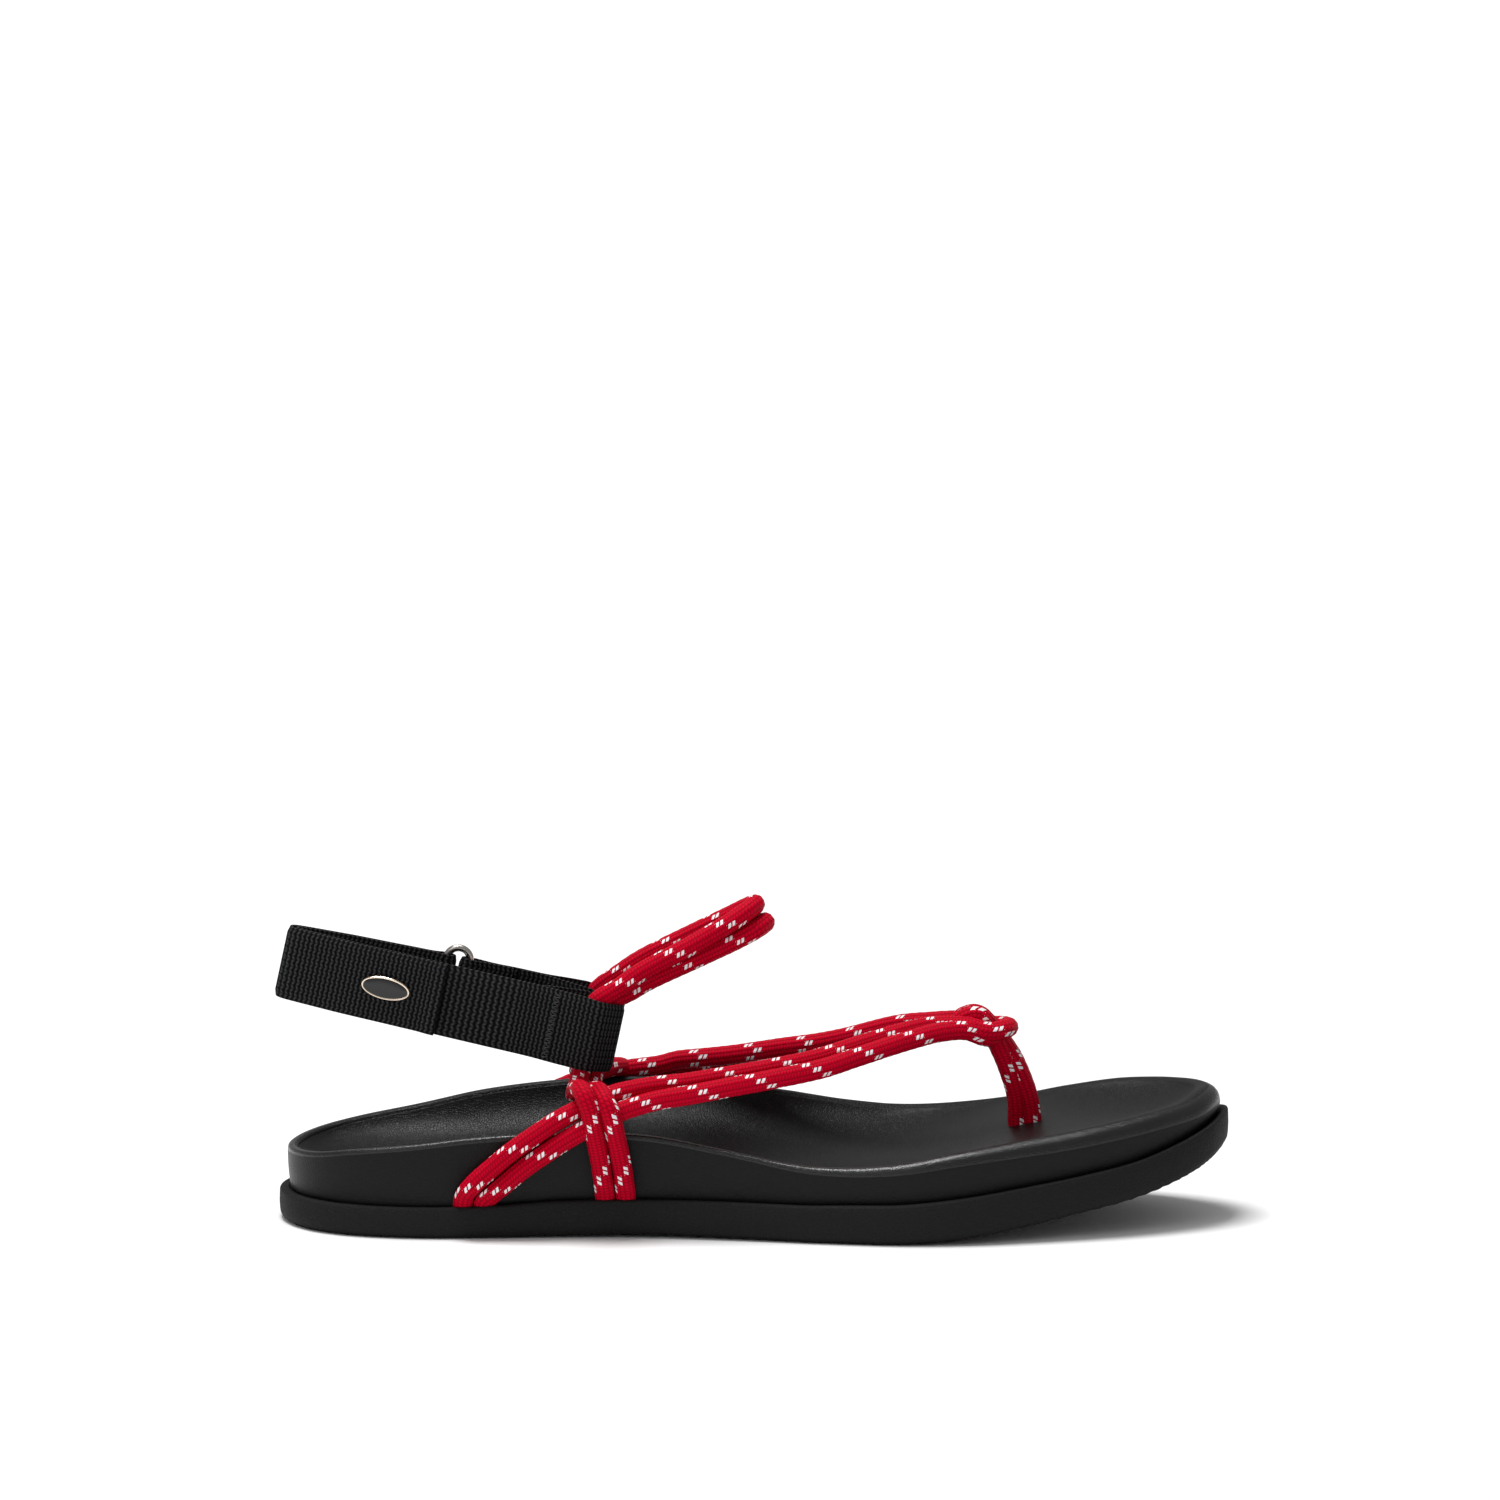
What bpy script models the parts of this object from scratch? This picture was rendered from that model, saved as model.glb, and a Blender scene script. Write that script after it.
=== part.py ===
"""Rope sandal for the right foot: a rubber outsole, a contoured footbed, a rope upper and a webbing heel strap.

Metres, +Z up, +X to the toe, -Y to the outer (little toe) side. The origin is on the floor under the middle.
"""

import math

import bmesh
import bpy
from mathutils import Matrix, Vector

# Driving sizes of the sole
SOLE_LENGTH = 0.258
SOLE_MIDDLE = 0.500
BALL_WIDTH = 0.0855
OUTSOLE_THICK = 0.0104
TOE_SPRING = 0.0202
WELT_WIDTH = 0.003
WALL_LEAN = 0.0008
FOOTBED_WALL = 0.020
BED_THICK = 0.0085
TREAD_EDGE = 0.0018

# Driving sizes of the rope upper
ROPE_DIAMETER = 0.0053
ROPE_SPACING = 0.0056
INSTEP_RISE = 0.055

# Driving sizes of the heel strap, its ring and its badge
STRAP_WIDTH = 0.0195
STRAP_THICK = 0.0014
STRAP_REACH = 0.0919
STRAP_SLOPE = math.radians(12.3)
STRAP_BACK_X = -0.1265
STRAP_BACK_Z = 0.0702
STRAP_OPEN = 0.0132
STRAP_DIP = 0.0014
STRAP_FLARE = 0.08
LOOP_SKEW = math.radians(50)
RING_WIRE = 0.002
RING_WIDTH = 0.0086
RING_HEIGHT = 0.026
BADGE_LENGTH = 0.0136
BADGE_HEIGHT = 0.0063
BADGE_THICK = 0.0012

# The gap that touching pieces keep
FIT = 0.0003

ROPE_RADIUS = ROPE_DIAMETER / 2
SPINE_SHARE = 0.78
SIDE_POINTS = 32

# Outline of the outsole from heel to toe, one row a section
# along: share of the sole's length; outer, inner: shares of the ball width, from the axis
OUTLINE = (
    (0.0000, 0.000, 0.000),
    (0.0100, 0.142, 0.142),
    (0.0350, 0.254, 0.252),
    (0.0740, 0.332, 0.330),
    (0.1320, 0.378, 0.376),
    (0.2100, 0.388, 0.378),
    (0.3060, 0.379, 0.364),
    (0.4030, 0.382, 0.366),
    (0.5000, 0.423, 0.405),
    (0.5800, 0.470, 0.455),
    (0.6550, 0.498, 0.492),
    (0.7250, 0.485, 0.500),
    (0.7900, 0.437, 0.474),
    (0.8550, 0.375, 0.420),
    (0.9100, 0.300, 0.360),
    (0.9570, 0.205, 0.275),
    (0.9860, 0.105, 0.180),
    (1.0000, -0.036, 0.036),
)

# Heights along the sole, one row a section
# along: share of the length; tread: share of the toe spring, flat on the floor where it is below zero
# thick: share of the outsole's thickness
# outer, inner: rim over the welt, as shares of the footbed's wall; bed: middle of the footbed over the welt
HEIGHTS = (
    (0.000, -0.004, 0.830, 0.575, 0.575, 0.80),
    (0.035, -0.004, 0.830, 0.640, 0.640, 0.74),
    (0.074, -0.004, 0.825, 0.735, 0.715, 0.70),
    (0.132, -0.004, 0.820, 0.825, 0.835, 0.70),
    (0.210, 0.008, 0.840, 0.925, 1.035, 0.84),
    (0.306, 0.036, 0.925, 0.905, 1.120, 1.00),
    (0.384, 0.046, 0.925, 0.860, 1.140, 1.10),
    (0.461, 0.028, 0.950, 0.705, 1.050, 1.06),
    (0.539, 0.006, 0.970, 0.540, 0.910, 0.88),
    (0.597, -0.010, 1.020, 0.490, 0.750, 0.74),
    (0.655, 0.006, 1.055, 0.530, 0.640, 0.72),
    (0.713, 0.062, 1.085, 0.590, 0.580, 0.90),
    (0.779, 0.190, 1.060, 0.590, 0.570, 1.14),
    (0.845, 0.345, 1.000, 0.565, 0.640, 1.10),
    (0.900, 0.480, 0.990, 0.530, 0.650, 1.02),
    (0.942, 0.640, 1.000, 0.445, 0.550, 0.84),
    (0.973, 0.800, 0.990, 0.350, 0.430, 0.68),
    (1.000, 1.000, 0.930, 0.290, 0.290, 0.56),
)

# Lower run of the outer vamp pair, from its slot in the sole to the knot
# along: share of the length; across: share of the reach to the rope beside the wall, minus on the outer side
# level: 0 at the welt, 1 at the rim, and above 1 a share of the instep's rise; lean: how far the pair lies over
OUTER_VAMP = (
    (0.208, -0.960, -0.16, 90),
    (0.209, -0.985, 0.10, 90),
    (0.217, -1.000, 0.24, 90),
    (0.235, -1.000, 0.45, 90),
    (0.254, -1.012, 0.66, 90),
    (0.278, -1.012, 0.88, 86),
    (0.300, -1.000, 1.025, 78),
    (0.320, -0.985, 1.075, 68),
    (0.341, -0.965, 1.125, 58),
    (0.362, -0.935, 1.165, 48),
    (0.395, -0.885, 1.212, 34),
    (0.434, -0.835, 1.264, 26),
    (0.473, -0.770, 1.324, 22),
    (0.513, -0.690, 1.384, 20),
    (0.570, -0.510, 1.445, 18),
    (0.600, -0.410, 1.478, 16),
    (0.657, -0.225, 1.520, 12),
    (0.690, -0.125, 1.524, 8),
)
INNER_VAMP = (
    (0.208, 0.960, -0.16, 90),
    (0.210, 0.985, 0.08, 90),
    (0.219, 1.000, 0.20, 90),
    (0.244, 1.000, 0.45, 90),
    (0.283, 1.000, 0.67, 90),
    (0.325, 1.000, 0.84, 90),
    (0.368, 1.000, 0.93, 88),
    (0.401, 1.010, 0.995, 78),
    (0.4225, 0.995, 1.040, 62),
    (0.445, 0.925, 1.080, 44),
    (0.482, 0.830, 1.140, 30),
    (0.536, 0.680, 1.240, 24),
    (0.572, 0.550, 1.316, 20),
    (0.602, 0.440, 1.385, 16),
    (0.659, 0.245, 1.502, 12),
    (0.700, 0.150, 1.522, 8),
)

# The two instep pairs, from their slots over the vamp pairs to the lower edge of the strap
# turn: direction in which the pair lies side by side, 0 level and 90 upright
# aside: how far it is turned out of that direction, its rear strand outwards
OUTER_INSTEP = (
    (0.3560, -0.960, -0.16, 0, 0),
    (0.3555, -0.985, 0.12, 0, 0),
    (0.3510, -1.000, 0.62, 2, 0),
    (0.3450, -1.045, 1.020, 6, 0),
    (0.3400, -1.105, 1.140, 12, 0),
    (0.3350, -1.090, 1.200, 14, 4),
    (0.3300, -1.010, 1.226, 14, 10),
    (0.3255, -0.830, 1.205, 10, 22),
    (0.3225, -0.610, 1.164, 10, 34),
    (0.3205, -0.430, 1.128, 12, 46),
)
INNER_INSTEP = (
    (0.3560, 0.960, -0.16, 0, 0),
    (0.3555, 0.985, 0.12, 0, 0),
    (0.3550, 1.020, 0.42, 0, 0),
    (0.3540, 1.110, 0.68, 0, 0),
    (0.3520, 1.150, 0.89, 2, 0),
    (0.3490, 1.085, 1.020, 6, 4),
    (0.3440, 0.900, 1.055, 8, 14),
    (0.3350, 0.730, 1.075, 10, 26),
    (0.3260, 0.560, 1.084, 10, 38),
    (0.3215, 0.430, 1.086, 12, 46),
)

# The slack loops of the instep pairs, from the upper edge of the strap to their tops
OUTER_SLACK = (
    (0.3589, -0.195, 1.600, 21, 54),
    (0.3850, -0.175, 1.674, 61, 50),
    (0.4407, -0.150, 1.836, 61, 38),
    (0.4800, -0.110, 1.957, 61, 20),
    (0.4985, -0.078, 2.020, 61, 6),
)
INNER_SLACK = (
    (0.3589, 0.195, 1.592, 21, 54),
    (0.3850, 0.178, 1.664, 61, 50),
    (0.4407, 0.155, 1.822, 61, 38),
    (0.4800, 0.115, 1.940, 61, 20),
    (0.4985, 0.082, 2.003, 61, 6),
)
LOOP_TOP = ((0.5065, 0.000, 2.041, 61, 0),)

# Turns of the two vamp strands round the toe post: along, across, level
UPPER_TURN = (
    (0.725, -0.075, 1.512),
    (0.746, -0.098, 1.475),
    (0.7615, -0.058, 1.470),
    (0.7680, 0.045, 1.466),
    (0.7615, 0.160, 1.462),
    (0.746, 0.200, 1.470),
    (0.725, 0.140, 1.514),
)
LOWER_TURN = (
    (0.722, -0.130, 1.500),
    (0.740, -0.085, 1.455),
    (0.7520, 0.020, 1.428),
    (0.7530, 0.120, 1.425),
    (0.740, 0.205, 1.455),
    (0.722, 0.210, 1.502),
)

# Strands of the toe post, from inside the footbed up to the knot: along, across, level
POST_REAR_OUTER = (
    (0.7785, 0.105, -0.10),
    (0.7785, 0.105, 0.75),
    (0.7770, 0.095, 1.100),
    (0.7660, 0.070, 1.280),
    (0.7555, 0.045, 1.400),
    (0.7470, 0.012, 1.490),
    (0.7340, -0.015, 1.558),
    (0.7185, -0.015, 1.545),
    (0.7100, 0.000, 1.495),
)
POST_REAR_INNER = (
    (0.7785, 0.240, -0.10),
    (0.7785, 0.240, 0.75),
    (0.7770, 0.230, 1.100),
    (0.7660, 0.200, 1.280),
    (0.7555, 0.165, 1.400),
    (0.7470, 0.135, 1.485),
    (0.7340, 0.115, 1.545),
    (0.7185, 0.105, 1.535),
    (0.7100, 0.090, 1.490),
)
POST_FRONT_OUTER = (
    (0.7935, 0.110, -0.10),
    (0.7935, 0.110, 0.75),
    (0.7900, 0.105, 1.080),
    (0.7745, 0.095, 1.280),
    (0.7615, 0.080, 1.390),
    (0.7560, 0.060, 1.450),
)
POST_FRONT_INNER = (
    (0.7935, 0.245, -0.10),
    (0.7935, 0.245, 0.75),
    (0.7900, 0.235, 1.080),
    (0.7745, 0.205, 1.280),
    (0.7615, 0.170, 1.390),
    (0.7560, 0.150, 1.450),
)

# Half the width of the heel strap's loop, measured to the gap between its two layers
# forward: share of the strap's reach from its back fold; half: share of the half width at the front
STRAP_HALF = (
    (0.00, 0.182),
    (0.05, 0.227),
    (0.10, 0.311),
    (0.18, 0.424),
    (0.30, 0.515),
    (0.42, 0.614),
    (0.54, 0.697),
    (0.68, 0.788),
    (0.80, 0.879),
    (0.92, 0.970),
    (1.00, 1.000),
)
DIP_START = 0.880
CLOSURE_END = 0.466
RING_PLACE = 0.492
STITCH_PLACE = 0.757
BADGE_PLACE = 0.302


def start_empty():
    for old in list(bpy.data.objects):
        bpy.data.objects.remove(old, do_unlink=True)


def mix(low, high, share):
    return low + (high - low) * share


def read_table(table, place, column):
    """A smooth value between a table's rows, by the cubic through the rows on both sides."""
    last = len(table) - 1
    place = min(max(place, table[0][0]), table[last][0])
    row = 0
    while row < last - 1 and table[row + 1][0] < place:
        row += 1

    def slope(index):
        before = max(index - 1, 0)
        after = min(index + 1, last)
        return (table[after][column] - table[before][column]) / (table[after][0] - table[before][0])

    span = table[row + 1][0] - table[row][0]
    part = (place - table[row][0]) / span
    start = table[row][column]
    end = table[row + 1][column]
    turn_start = slope(row) * span
    turn_end = slope(row + 1) * span
    square = part * part
    cube = square * part
    return (
        start * (2 * cube - 3 * square + 1)
        + turn_start * (cube - 2 * square + part)
        + end * (3 * square - 2 * cube)
        + turn_end * (cube - square)
    )


def smooth_path(points, step, closed=False):
    """Points a step apart along a centripetal curve through the given points."""
    points = [Vector(point) for point in points]
    if closed:
        points = [points[-1]] + points + [points[0], points[1]]
    else:
        points = [points[0] * 2 - points[1]] + points + [points[-1] * 2 - points[-2]]
    fine = []
    for index in range(1, len(points) - 2):
        corners = points[index - 1 : index + 3]
        knots = [0.0]
        for first, second in zip(corners, corners[1:]):
            knots.append(knots[-1] + max((second - first).length, 1e-6) ** 0.5)
        count = max(2, math.ceil((corners[2] - corners[1]).length / step) * 4)
        for part in range(count):
            at = mix(knots[1], knots[2], part / count)
            level = corners
            for spans in (((0, 1), (1, 2), (2, 3)), ((0, 2), (1, 3)), ((1, 2),)):
                level = [
                    level[i].lerp(level[i + 1], (at - knots[a]) / (knots[b] - knots[a]))
                    for i, (a, b) in enumerate(spans)
                ]
            fine.append(level[0])
    if not closed:
        fine.append(points[-2])
    else:
        fine.append(fine[0].copy())
    lengths = [0.0]
    for first, second in zip(fine, fine[1:]):
        lengths.append(lengths[-1] + (second - first).length)
    count = max(3, round(lengths[-1] / step))
    even = []
    at = 0
    for number in range(count if closed else count + 1):
        goal = lengths[-1] * number / count
        while at < len(fine) - 2 and lengths[at + 1] < goal:
            at += 1
        span = max(lengths[at + 1] - lengths[at], 1e-9)
        even.append(fine[at].lerp(fine[at + 1], (goal - lengths[at]) / span))
    return even


def material(name, colour, roughness, metallic=0.0):
    made = bpy.data.materials.new(name)
    made.use_nodes = True
    shader = made.node_tree.nodes["Principled BSDF"]
    shader.inputs["Base Color"].default_value = (*colour, 1.0)
    shader.inputs["Roughness"].default_value = roughness
    shader.inputs["Metallic"].default_value = metallic
    return made


def add_object(name, form, finish, smooth=True):
    """Links a finished bmesh as an object with its material, its faces pointing outwards."""
    bmesh.ops.recalc_face_normals(form, faces=form.faces)
    mesh = bpy.data.meshes.new(name)
    form.to_mesh(mesh)
    form.free()
    mesh.materials.append(finish)
    if smooth:
        mesh.shade_smooth()
        mesh.set_sharp_from_angle(angle=math.radians(40))
    made = bpy.data.objects.new(name, mesh)
    bpy.context.scene.collection.objects.link(made)
    return made


def as_helper(made):
    made.hide_render = True
    made.display_type = "WIRE"
    return made


# The last: outline and heights of the sole


def station_x(along):
    return (along - SOLE_MIDDLE) * SOLE_LENGTH


def outline_points():
    """The outsole's outline as a closed ring: the heel, the outer side, the toe, the inner side."""
    outer = [Vector((station_x(row[0]), -row[1] * BALL_WIDTH, 0)) for row in OUTLINE]
    inner = [Vector((station_x(row[0]), row[2] * BALL_WIDTH, 0)) for row in OUTLINE]
    corners = outer + inner[-2:0:-1]
    step = SOLE_LENGTH / 400
    ring = smooth_path(corners, step, closed=True)
    toe = max(range(len(ring)), key=lambda index: ring[index].x)
    halves = []
    for side in (ring[: toe + 1], ring[toe:] + [ring[0]]):
        lengths = [0.0]
        for first, second in zip(side, side[1:]):
            lengths.append(lengths[-1] + (second - first).length)
        even = []
        for number in range(SIDE_POINTS + 1):
            goal = lengths[-1] * number / SIDE_POINTS
            at = next(index for index, length in enumerate(lengths) if length >= goal - 1e-9)
            even.append(side[at])
        halves.append(even)
    return halves[0] + halves[1][1:-1]


def spine_of(point):
    """The point on the sole's axis that a point of the outline is drawn in towards."""
    return Vector((point.x * SPINE_SHARE, 0.0, 0.0))


def along_of(x):
    return min(max(x / SOLE_LENGTH + SOLE_MIDDLE, 0.0), 1.0)


def half_width(x, side):
    return read_table(OUTLINE, along_of(x), 1 if side < 0 else 2) * BALL_WIDTH


def tread_z(x):
    return max(read_table(HEIGHTS, along_of(x), 1), 0.0) * TOE_SPRING


def welt_z(x):
    return tread_z(x) + read_table(HEIGHTS, along_of(x), 2) * OUTSOLE_THICK


def rim_z(x, across):
    """Height of the rim, mixed between the outer (-1) and the inner side (+1)."""
    outer = read_table(HEIGHTS, along_of(x), 3)
    inner = read_table(HEIGHTS, along_of(x), 4)
    share = min(max((across + 1) / 2, 0.0), 1.0)
    share = share * share * (3 - 2 * share)
    return welt_z(x) + mix(outer, inner, share) * FOOTBED_WALL


def bed_z(x):
    return welt_z(x) + read_table(HEIGHTS, along_of(x), 5) * BED_THICK


def drawn_in(point, inset):
    """A point of the outline moved in towards the axis by a length."""
    spine = spine_of(point)
    away = point - spine
    return spine + away * max(1 - inset / away.length, 0.02)


def drawn_to(point, share):
    spine = spine_of(point)
    return spine + (point - spine) * share


def ring_of(form, outline, place, height):
    """One ring of vertices; place gives each point's spot in plan, and height its z."""
    made = []
    for point in outline:
        spot = place(point)
        made.append(form.verts.new((spot.x, spot.y, height(spot, point))))
    return made


def join_rings(form, first, second):
    count = len(first)
    for index in range(count):
        after = (index + 1) % count
        form.faces.new((first[index], first[after], second[after], second[index]))


def close_on_spine(form, outline, ring, height):
    """Closes a ring over the sole's axis: each side runs in to one line of vertices."""
    count = len(ring)
    line = []
    for index in range(1, SIDE_POINTS):
        x = (outline[index].x + outline[count - index].x) / 2 * SPINE_SHARE
        line.append(form.verts.new((x, 0.0, height(Vector((x, 0.0, 0.0)), None))))
    for index in range(1, SIDE_POINTS - 1):
        form.faces.new((ring[index], ring[index + 1], line[index], line[index - 1]))
        form.faces.new((ring[count - index], line[index - 1], line[index], ring[count - index - 1]))
    form.faces.new((ring[0], ring[1], line[0]))
    form.faces.new((ring[0], line[0], ring[count - 1]))
    form.faces.new((ring[SIDE_POINTS], line[-1], ring[SIDE_POINTS - 1]))
    form.faces.new((ring[SIDE_POINTS], ring[SIDE_POINTS + 1], line[-1]))


def build_outsole(outline, finish):
    """The moulded outsole: flat tread, rounded edge, upright side and the welt that stands out all round."""
    form = bmesh.new()

    def over_tread(rise):
        return lambda spot, point: tread_z(spot.x) + rise

    def under_welt(drop):
        return lambda spot, point: welt_z(spot.x) - drop

    rings = [
        ring_of(form, outline, lambda p: drawn_to(p, 0.55), over_tread(0)),
        ring_of(form, outline, lambda p: drawn_in(p, TREAD_EDGE * 1.6), over_tread(0)),
        ring_of(form, outline, lambda p: drawn_in(p, TREAD_EDGE * 0.4), over_tread(TREAD_EDGE * 0.5)),
        ring_of(form, outline, lambda p: drawn_in(p, 0), over_tread(TREAD_EDGE * 1.5)),
        ring_of(form, outline, lambda p: drawn_in(p, 0), under_welt(WELT_WIDTH * 0.3)),
        ring_of(form, outline, lambda p: drawn_in(p, WELT_WIDTH * 0.25), under_welt(0)),
        ring_of(form, outline, lambda p: drawn_in(p, WELT_WIDTH), under_welt(0)),
        ring_of(form, outline, lambda p: drawn_to(p, 0.75), under_welt(0)),
        ring_of(form, outline, lambda p: drawn_to(p, 0.5), under_welt(0)),
    ]
    for first, second in zip(rings, rings[1:]):
        join_rings(form, first, second)
    close_on_spine(form, outline, rings[0], over_tread(0))
    close_on_spine(form, outline, rings[-1], under_welt(0))
    return add_object("outsole", form, finish)


def build_footbed(outline, finish):
    """The wrapped footbed: a wall with a rounded rim, then the heel cup, the arch and the dish under the toes."""
    form = bmesh.new()
    top_inset = WELT_WIDTH - WALL_LEAN

    def side_of(point):
        return -1.0 if point.y < 0 else 1.0

    def rim_at(point):
        reach = half_width(point.x, side_of(point))
        return rim_z(point.x, point.y / max(reach, 0.012))

    def seat(spot, point):
        return welt_z(spot.x) + FIT

    def below_rim(drop):
        return lambda spot, point: rim_at(point) - drop

    def dished(share):
        def height(spot, point):
            base = bed_z(spot.x)
            return base if point is None else mix(base, rim_at(point), share)

        return height

    rings = [
        ring_of(form, outline, lambda p: drawn_to(p, 0.5), seat),
        ring_of(form, outline, lambda p: drawn_to(p, 0.75), seat),
        ring_of(form, outline, lambda p: drawn_in(p, WELT_WIDTH), seat),
        ring_of(form, outline, lambda p: drawn_in(p, mix(WELT_WIDTH, top_inset, 0.6)), below_rim(0.0045)),
        ring_of(form, outline, lambda p: drawn_in(p, top_inset), below_rim(0.0017)),
        ring_of(form, outline, lambda p: drawn_in(p, top_inset + 0.0007), below_rim(0.0004)),
        ring_of(form, outline, lambda p: drawn_in(p, top_inset + 0.0019), below_rim(0.0)),
        ring_of(form, outline, lambda p: drawn_in(p, top_inset + 0.0036), below_rim(0.0010)),
        ring_of(form, outline, lambda p: drawn_in(p, top_inset + 0.0075), dished(0.62)),
        ring_of(form, outline, lambda p: drawn_to(p, 0.58), dished(0.22)),
        ring_of(form, outline, lambda p: drawn_to(p, 0.30), dished(0.04)),
    ]
    for first, second in zip(rings, rings[1:]):
        join_rings(form, first, second)
    close_on_spine(form, outline, rings[0], seat)
    close_on_spine(form, outline, rings[-1], dished(0.0))
    return add_object("footbed", form, finish)


# The strap's own frame: x forward from its back fold, z across its width


def strap_half(forward):
    return read_table(STRAP_HALF, forward / STRAP_REACH, 1) * STRAP_OPEN


def flared(spot):
    """A spot of the strap's frame with the loop opened out a little towards its lower edge."""
    forward = min(max(spot.x / STRAP_REACH, 0.0), 1.0)
    opened = -2 * STRAP_FLARE * forward * spot.z / STRAP_WIDTH * strap_half(spot.x)
    side = 1 if spot.y > 0 else -1
    return spot + Vector((0.0, side * opened, 0.0))


def strap_place():
    """The turn and shift from the strap's own frame to the sandal."""
    return Matrix.Translation((STRAP_BACK_X, 0.0, STRAP_BACK_Z)) @ Matrix.Rotation(STRAP_SLOPE, 4, "Y")


def loop_fold():
    """Radius of the webbing's middle line where it turns round a rope."""
    return ROPE_RADIUS + FIT + STRAP_THICK / 2


def loop_seats(side):
    """Where the two strands of a pair stand in a side's front loop: the rear one outside, the front one inside."""
    step = Vector((math.cos(LOOP_SKEW), -side * math.sin(LOOP_SKEW), 0.0)) * ROPE_SPACING
    forward = STRAP_REACH - STRAP_THICK / 2 - loop_fold() - step.x
    rear = Vector((forward, side * (strap_half(forward) - loop_fold() + (STRAP_THICK + FIT) / 2), 0.0))
    return rear, rear + step


def strap_passage(side):
    """Where the two strands of an instep pair run up inside the strap's front loop, the rear one first."""
    place = strap_place()
    strands = []
    for seat in loop_seats(side):
        heights = (-0.66, -0.4, 0.0, 0.3, 0.55)
        strands.append([place @ flared(seat + Vector((0.0, 0.0, height * STRAP_WIDTH))) for height in heights])
    return strands


def rope_point(along, across, level):
    """A place on or over the sole: beside the wall at across 1, and over the rim above level 1."""
    x = station_x(along)
    reach = half_width(x, across) - WELT_WIDTH + WALL_LEAN + ROPE_RADIUS + FIT
    rim = rim_z(x, across)
    if level <= 1:
        z = mix(welt_z(x), rim, level)
    else:
        z = rim + (level - 1) * INSTEP_RISE
    return Vector((x, across * reach, z))


def vamp_strands(table, side):
    """Centre lines of the two strands of a vamp pair, the upper one first."""
    middle = [rope_point(*row[:3]) for row in table]
    upper = []
    lower = []
    for index, row in enumerate(table):
        before = middle[max(index - 1, 0)]
        after = middle[min(index + 1, len(middle) - 1)]
        run = (after - before).normalized()
        lean = math.radians(row[3])
        away = Vector((0.0, side * math.sin(lean), math.cos(lean)))
        spread = (run.cross(away) * side).normalized() * (ROPE_SPACING / 2)
        if index == 0:
            spread = Vector((-ROPE_SPACING / 2, 0.0, 0.0))
        upper.append(middle[index] + spread)
        lower.append(middle[index] - spread)
    return upper, lower


def instep_strands(table):
    """Centre lines of the two strands of an instep pair, the rear one first."""
    rear = []
    front = []
    for row in table:
        turn = math.radians(row[3])
        aside = math.radians(row[4])
        side = -1 if row[1] < 0 else 1
        level = Vector((-math.cos(turn), 0.0, math.sin(turn)))
        spread = (level * math.cos(aside) + Vector((0.0, side * math.sin(aside), 0.0))) * (ROPE_SPACING / 2)
        middle = rope_point(*row[:3])
        rear.append(middle + spread)
        front.append(middle - spread)
    return rear, front


def rope_routes():
    """Every strand's centre line, as points to draw a smooth curve through."""
    outer_upper, outer_lower = vamp_strands(OUTER_VAMP, -1)
    inner_upper, inner_lower = vamp_strands(INNER_VAMP, 1)
    upper_turn = [rope_point(*row) for row in UPPER_TURN]
    lower_turn = [rope_point(*row) for row in LOWER_TURN]
    slack_rear, slack_front = instep_strands(OUTER_SLACK + LOOP_TOP + INNER_SLACK[::-1])
    outer_rear, outer_front = instep_strands(OUTER_INSTEP)
    inner_rear, inner_front = instep_strands(INNER_INSTEP)
    outer_passage = strap_passage(-1)
    inner_passage = strap_passage(1)
    posts = (POST_REAR_OUTER, POST_REAR_INNER, POST_FRONT_OUTER, POST_FRONT_INNER)
    routes = {
        "vamp_upper": outer_upper + upper_turn + inner_upper[::-1],
        "vamp_lower": outer_lower + lower_turn + inner_lower[::-1],
        "instep_rear": outer_rear + outer_passage[0] + slack_rear + inner_passage[0][::-1] + inner_rear[::-1],
        "instep_front": outer_front + outer_passage[1] + slack_front + inner_passage[1][::-1] + inner_front[::-1],
    }
    for number, table in enumerate(posts):
        routes[f"post_{number}"] = [rope_point(*row) for row in table]
    return routes


def tube(name, path, radius, sides, finish):
    """A round rope along a path, closed at both ends."""
    form = bmesh.new()
    run = (path[1] - path[0]).normalized()
    aside = run.orthogonal().normalized()
    rings = []
    for index, point in enumerate(path):
        before = path[max(index - 1, 0)]
        after = path[min(index + 1, len(path) - 1)]
        run = (after - before).normalized()
        aside = (aside - run * aside.dot(run)).normalized()
        up = run.cross(aside)
        ring = []
        for side in range(sides):
            angle = 2 * math.pi * side / sides
            ring.append(form.verts.new(point + (aside * math.cos(angle) + up * math.sin(angle)) * radius))
        rings.append(ring)
    for first, second in zip(rings, rings[1:]):
        join_rings(form, first, second)
    form.faces.new(rings[0][::-1])
    form.faces.new(rings[-1])
    return add_object(name, form, finish)


def build_upper(finish):
    """All strands of the rope upper, joined where they cross and in the knot over the toe post."""
    strands = bpy.data.collections.new("strands")
    bpy.context.scene.collection.children.link(strands)
    upper = None
    for name, points in rope_routes().items():
        path = smooth_path(points, ROPE_DIAMETER * 0.85)
        strand = tube(name, path, ROPE_RADIUS, 9, finish)
        if upper is None:
            upper = strand
            upper.name = "rope_upper"
            continue
        as_helper(strand)
        bpy.context.scene.collection.objects.unlink(strand)
        strands.objects.link(strand)
    joined = upper.modifiers.new("strands", "BOOLEAN")
    joined.operation = "UNION"
    joined.operand_type = "COLLECTION"
    joined.collection = strands
    joined.solver = "EXACT"
    joined.use_self = True
    return upper


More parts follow.
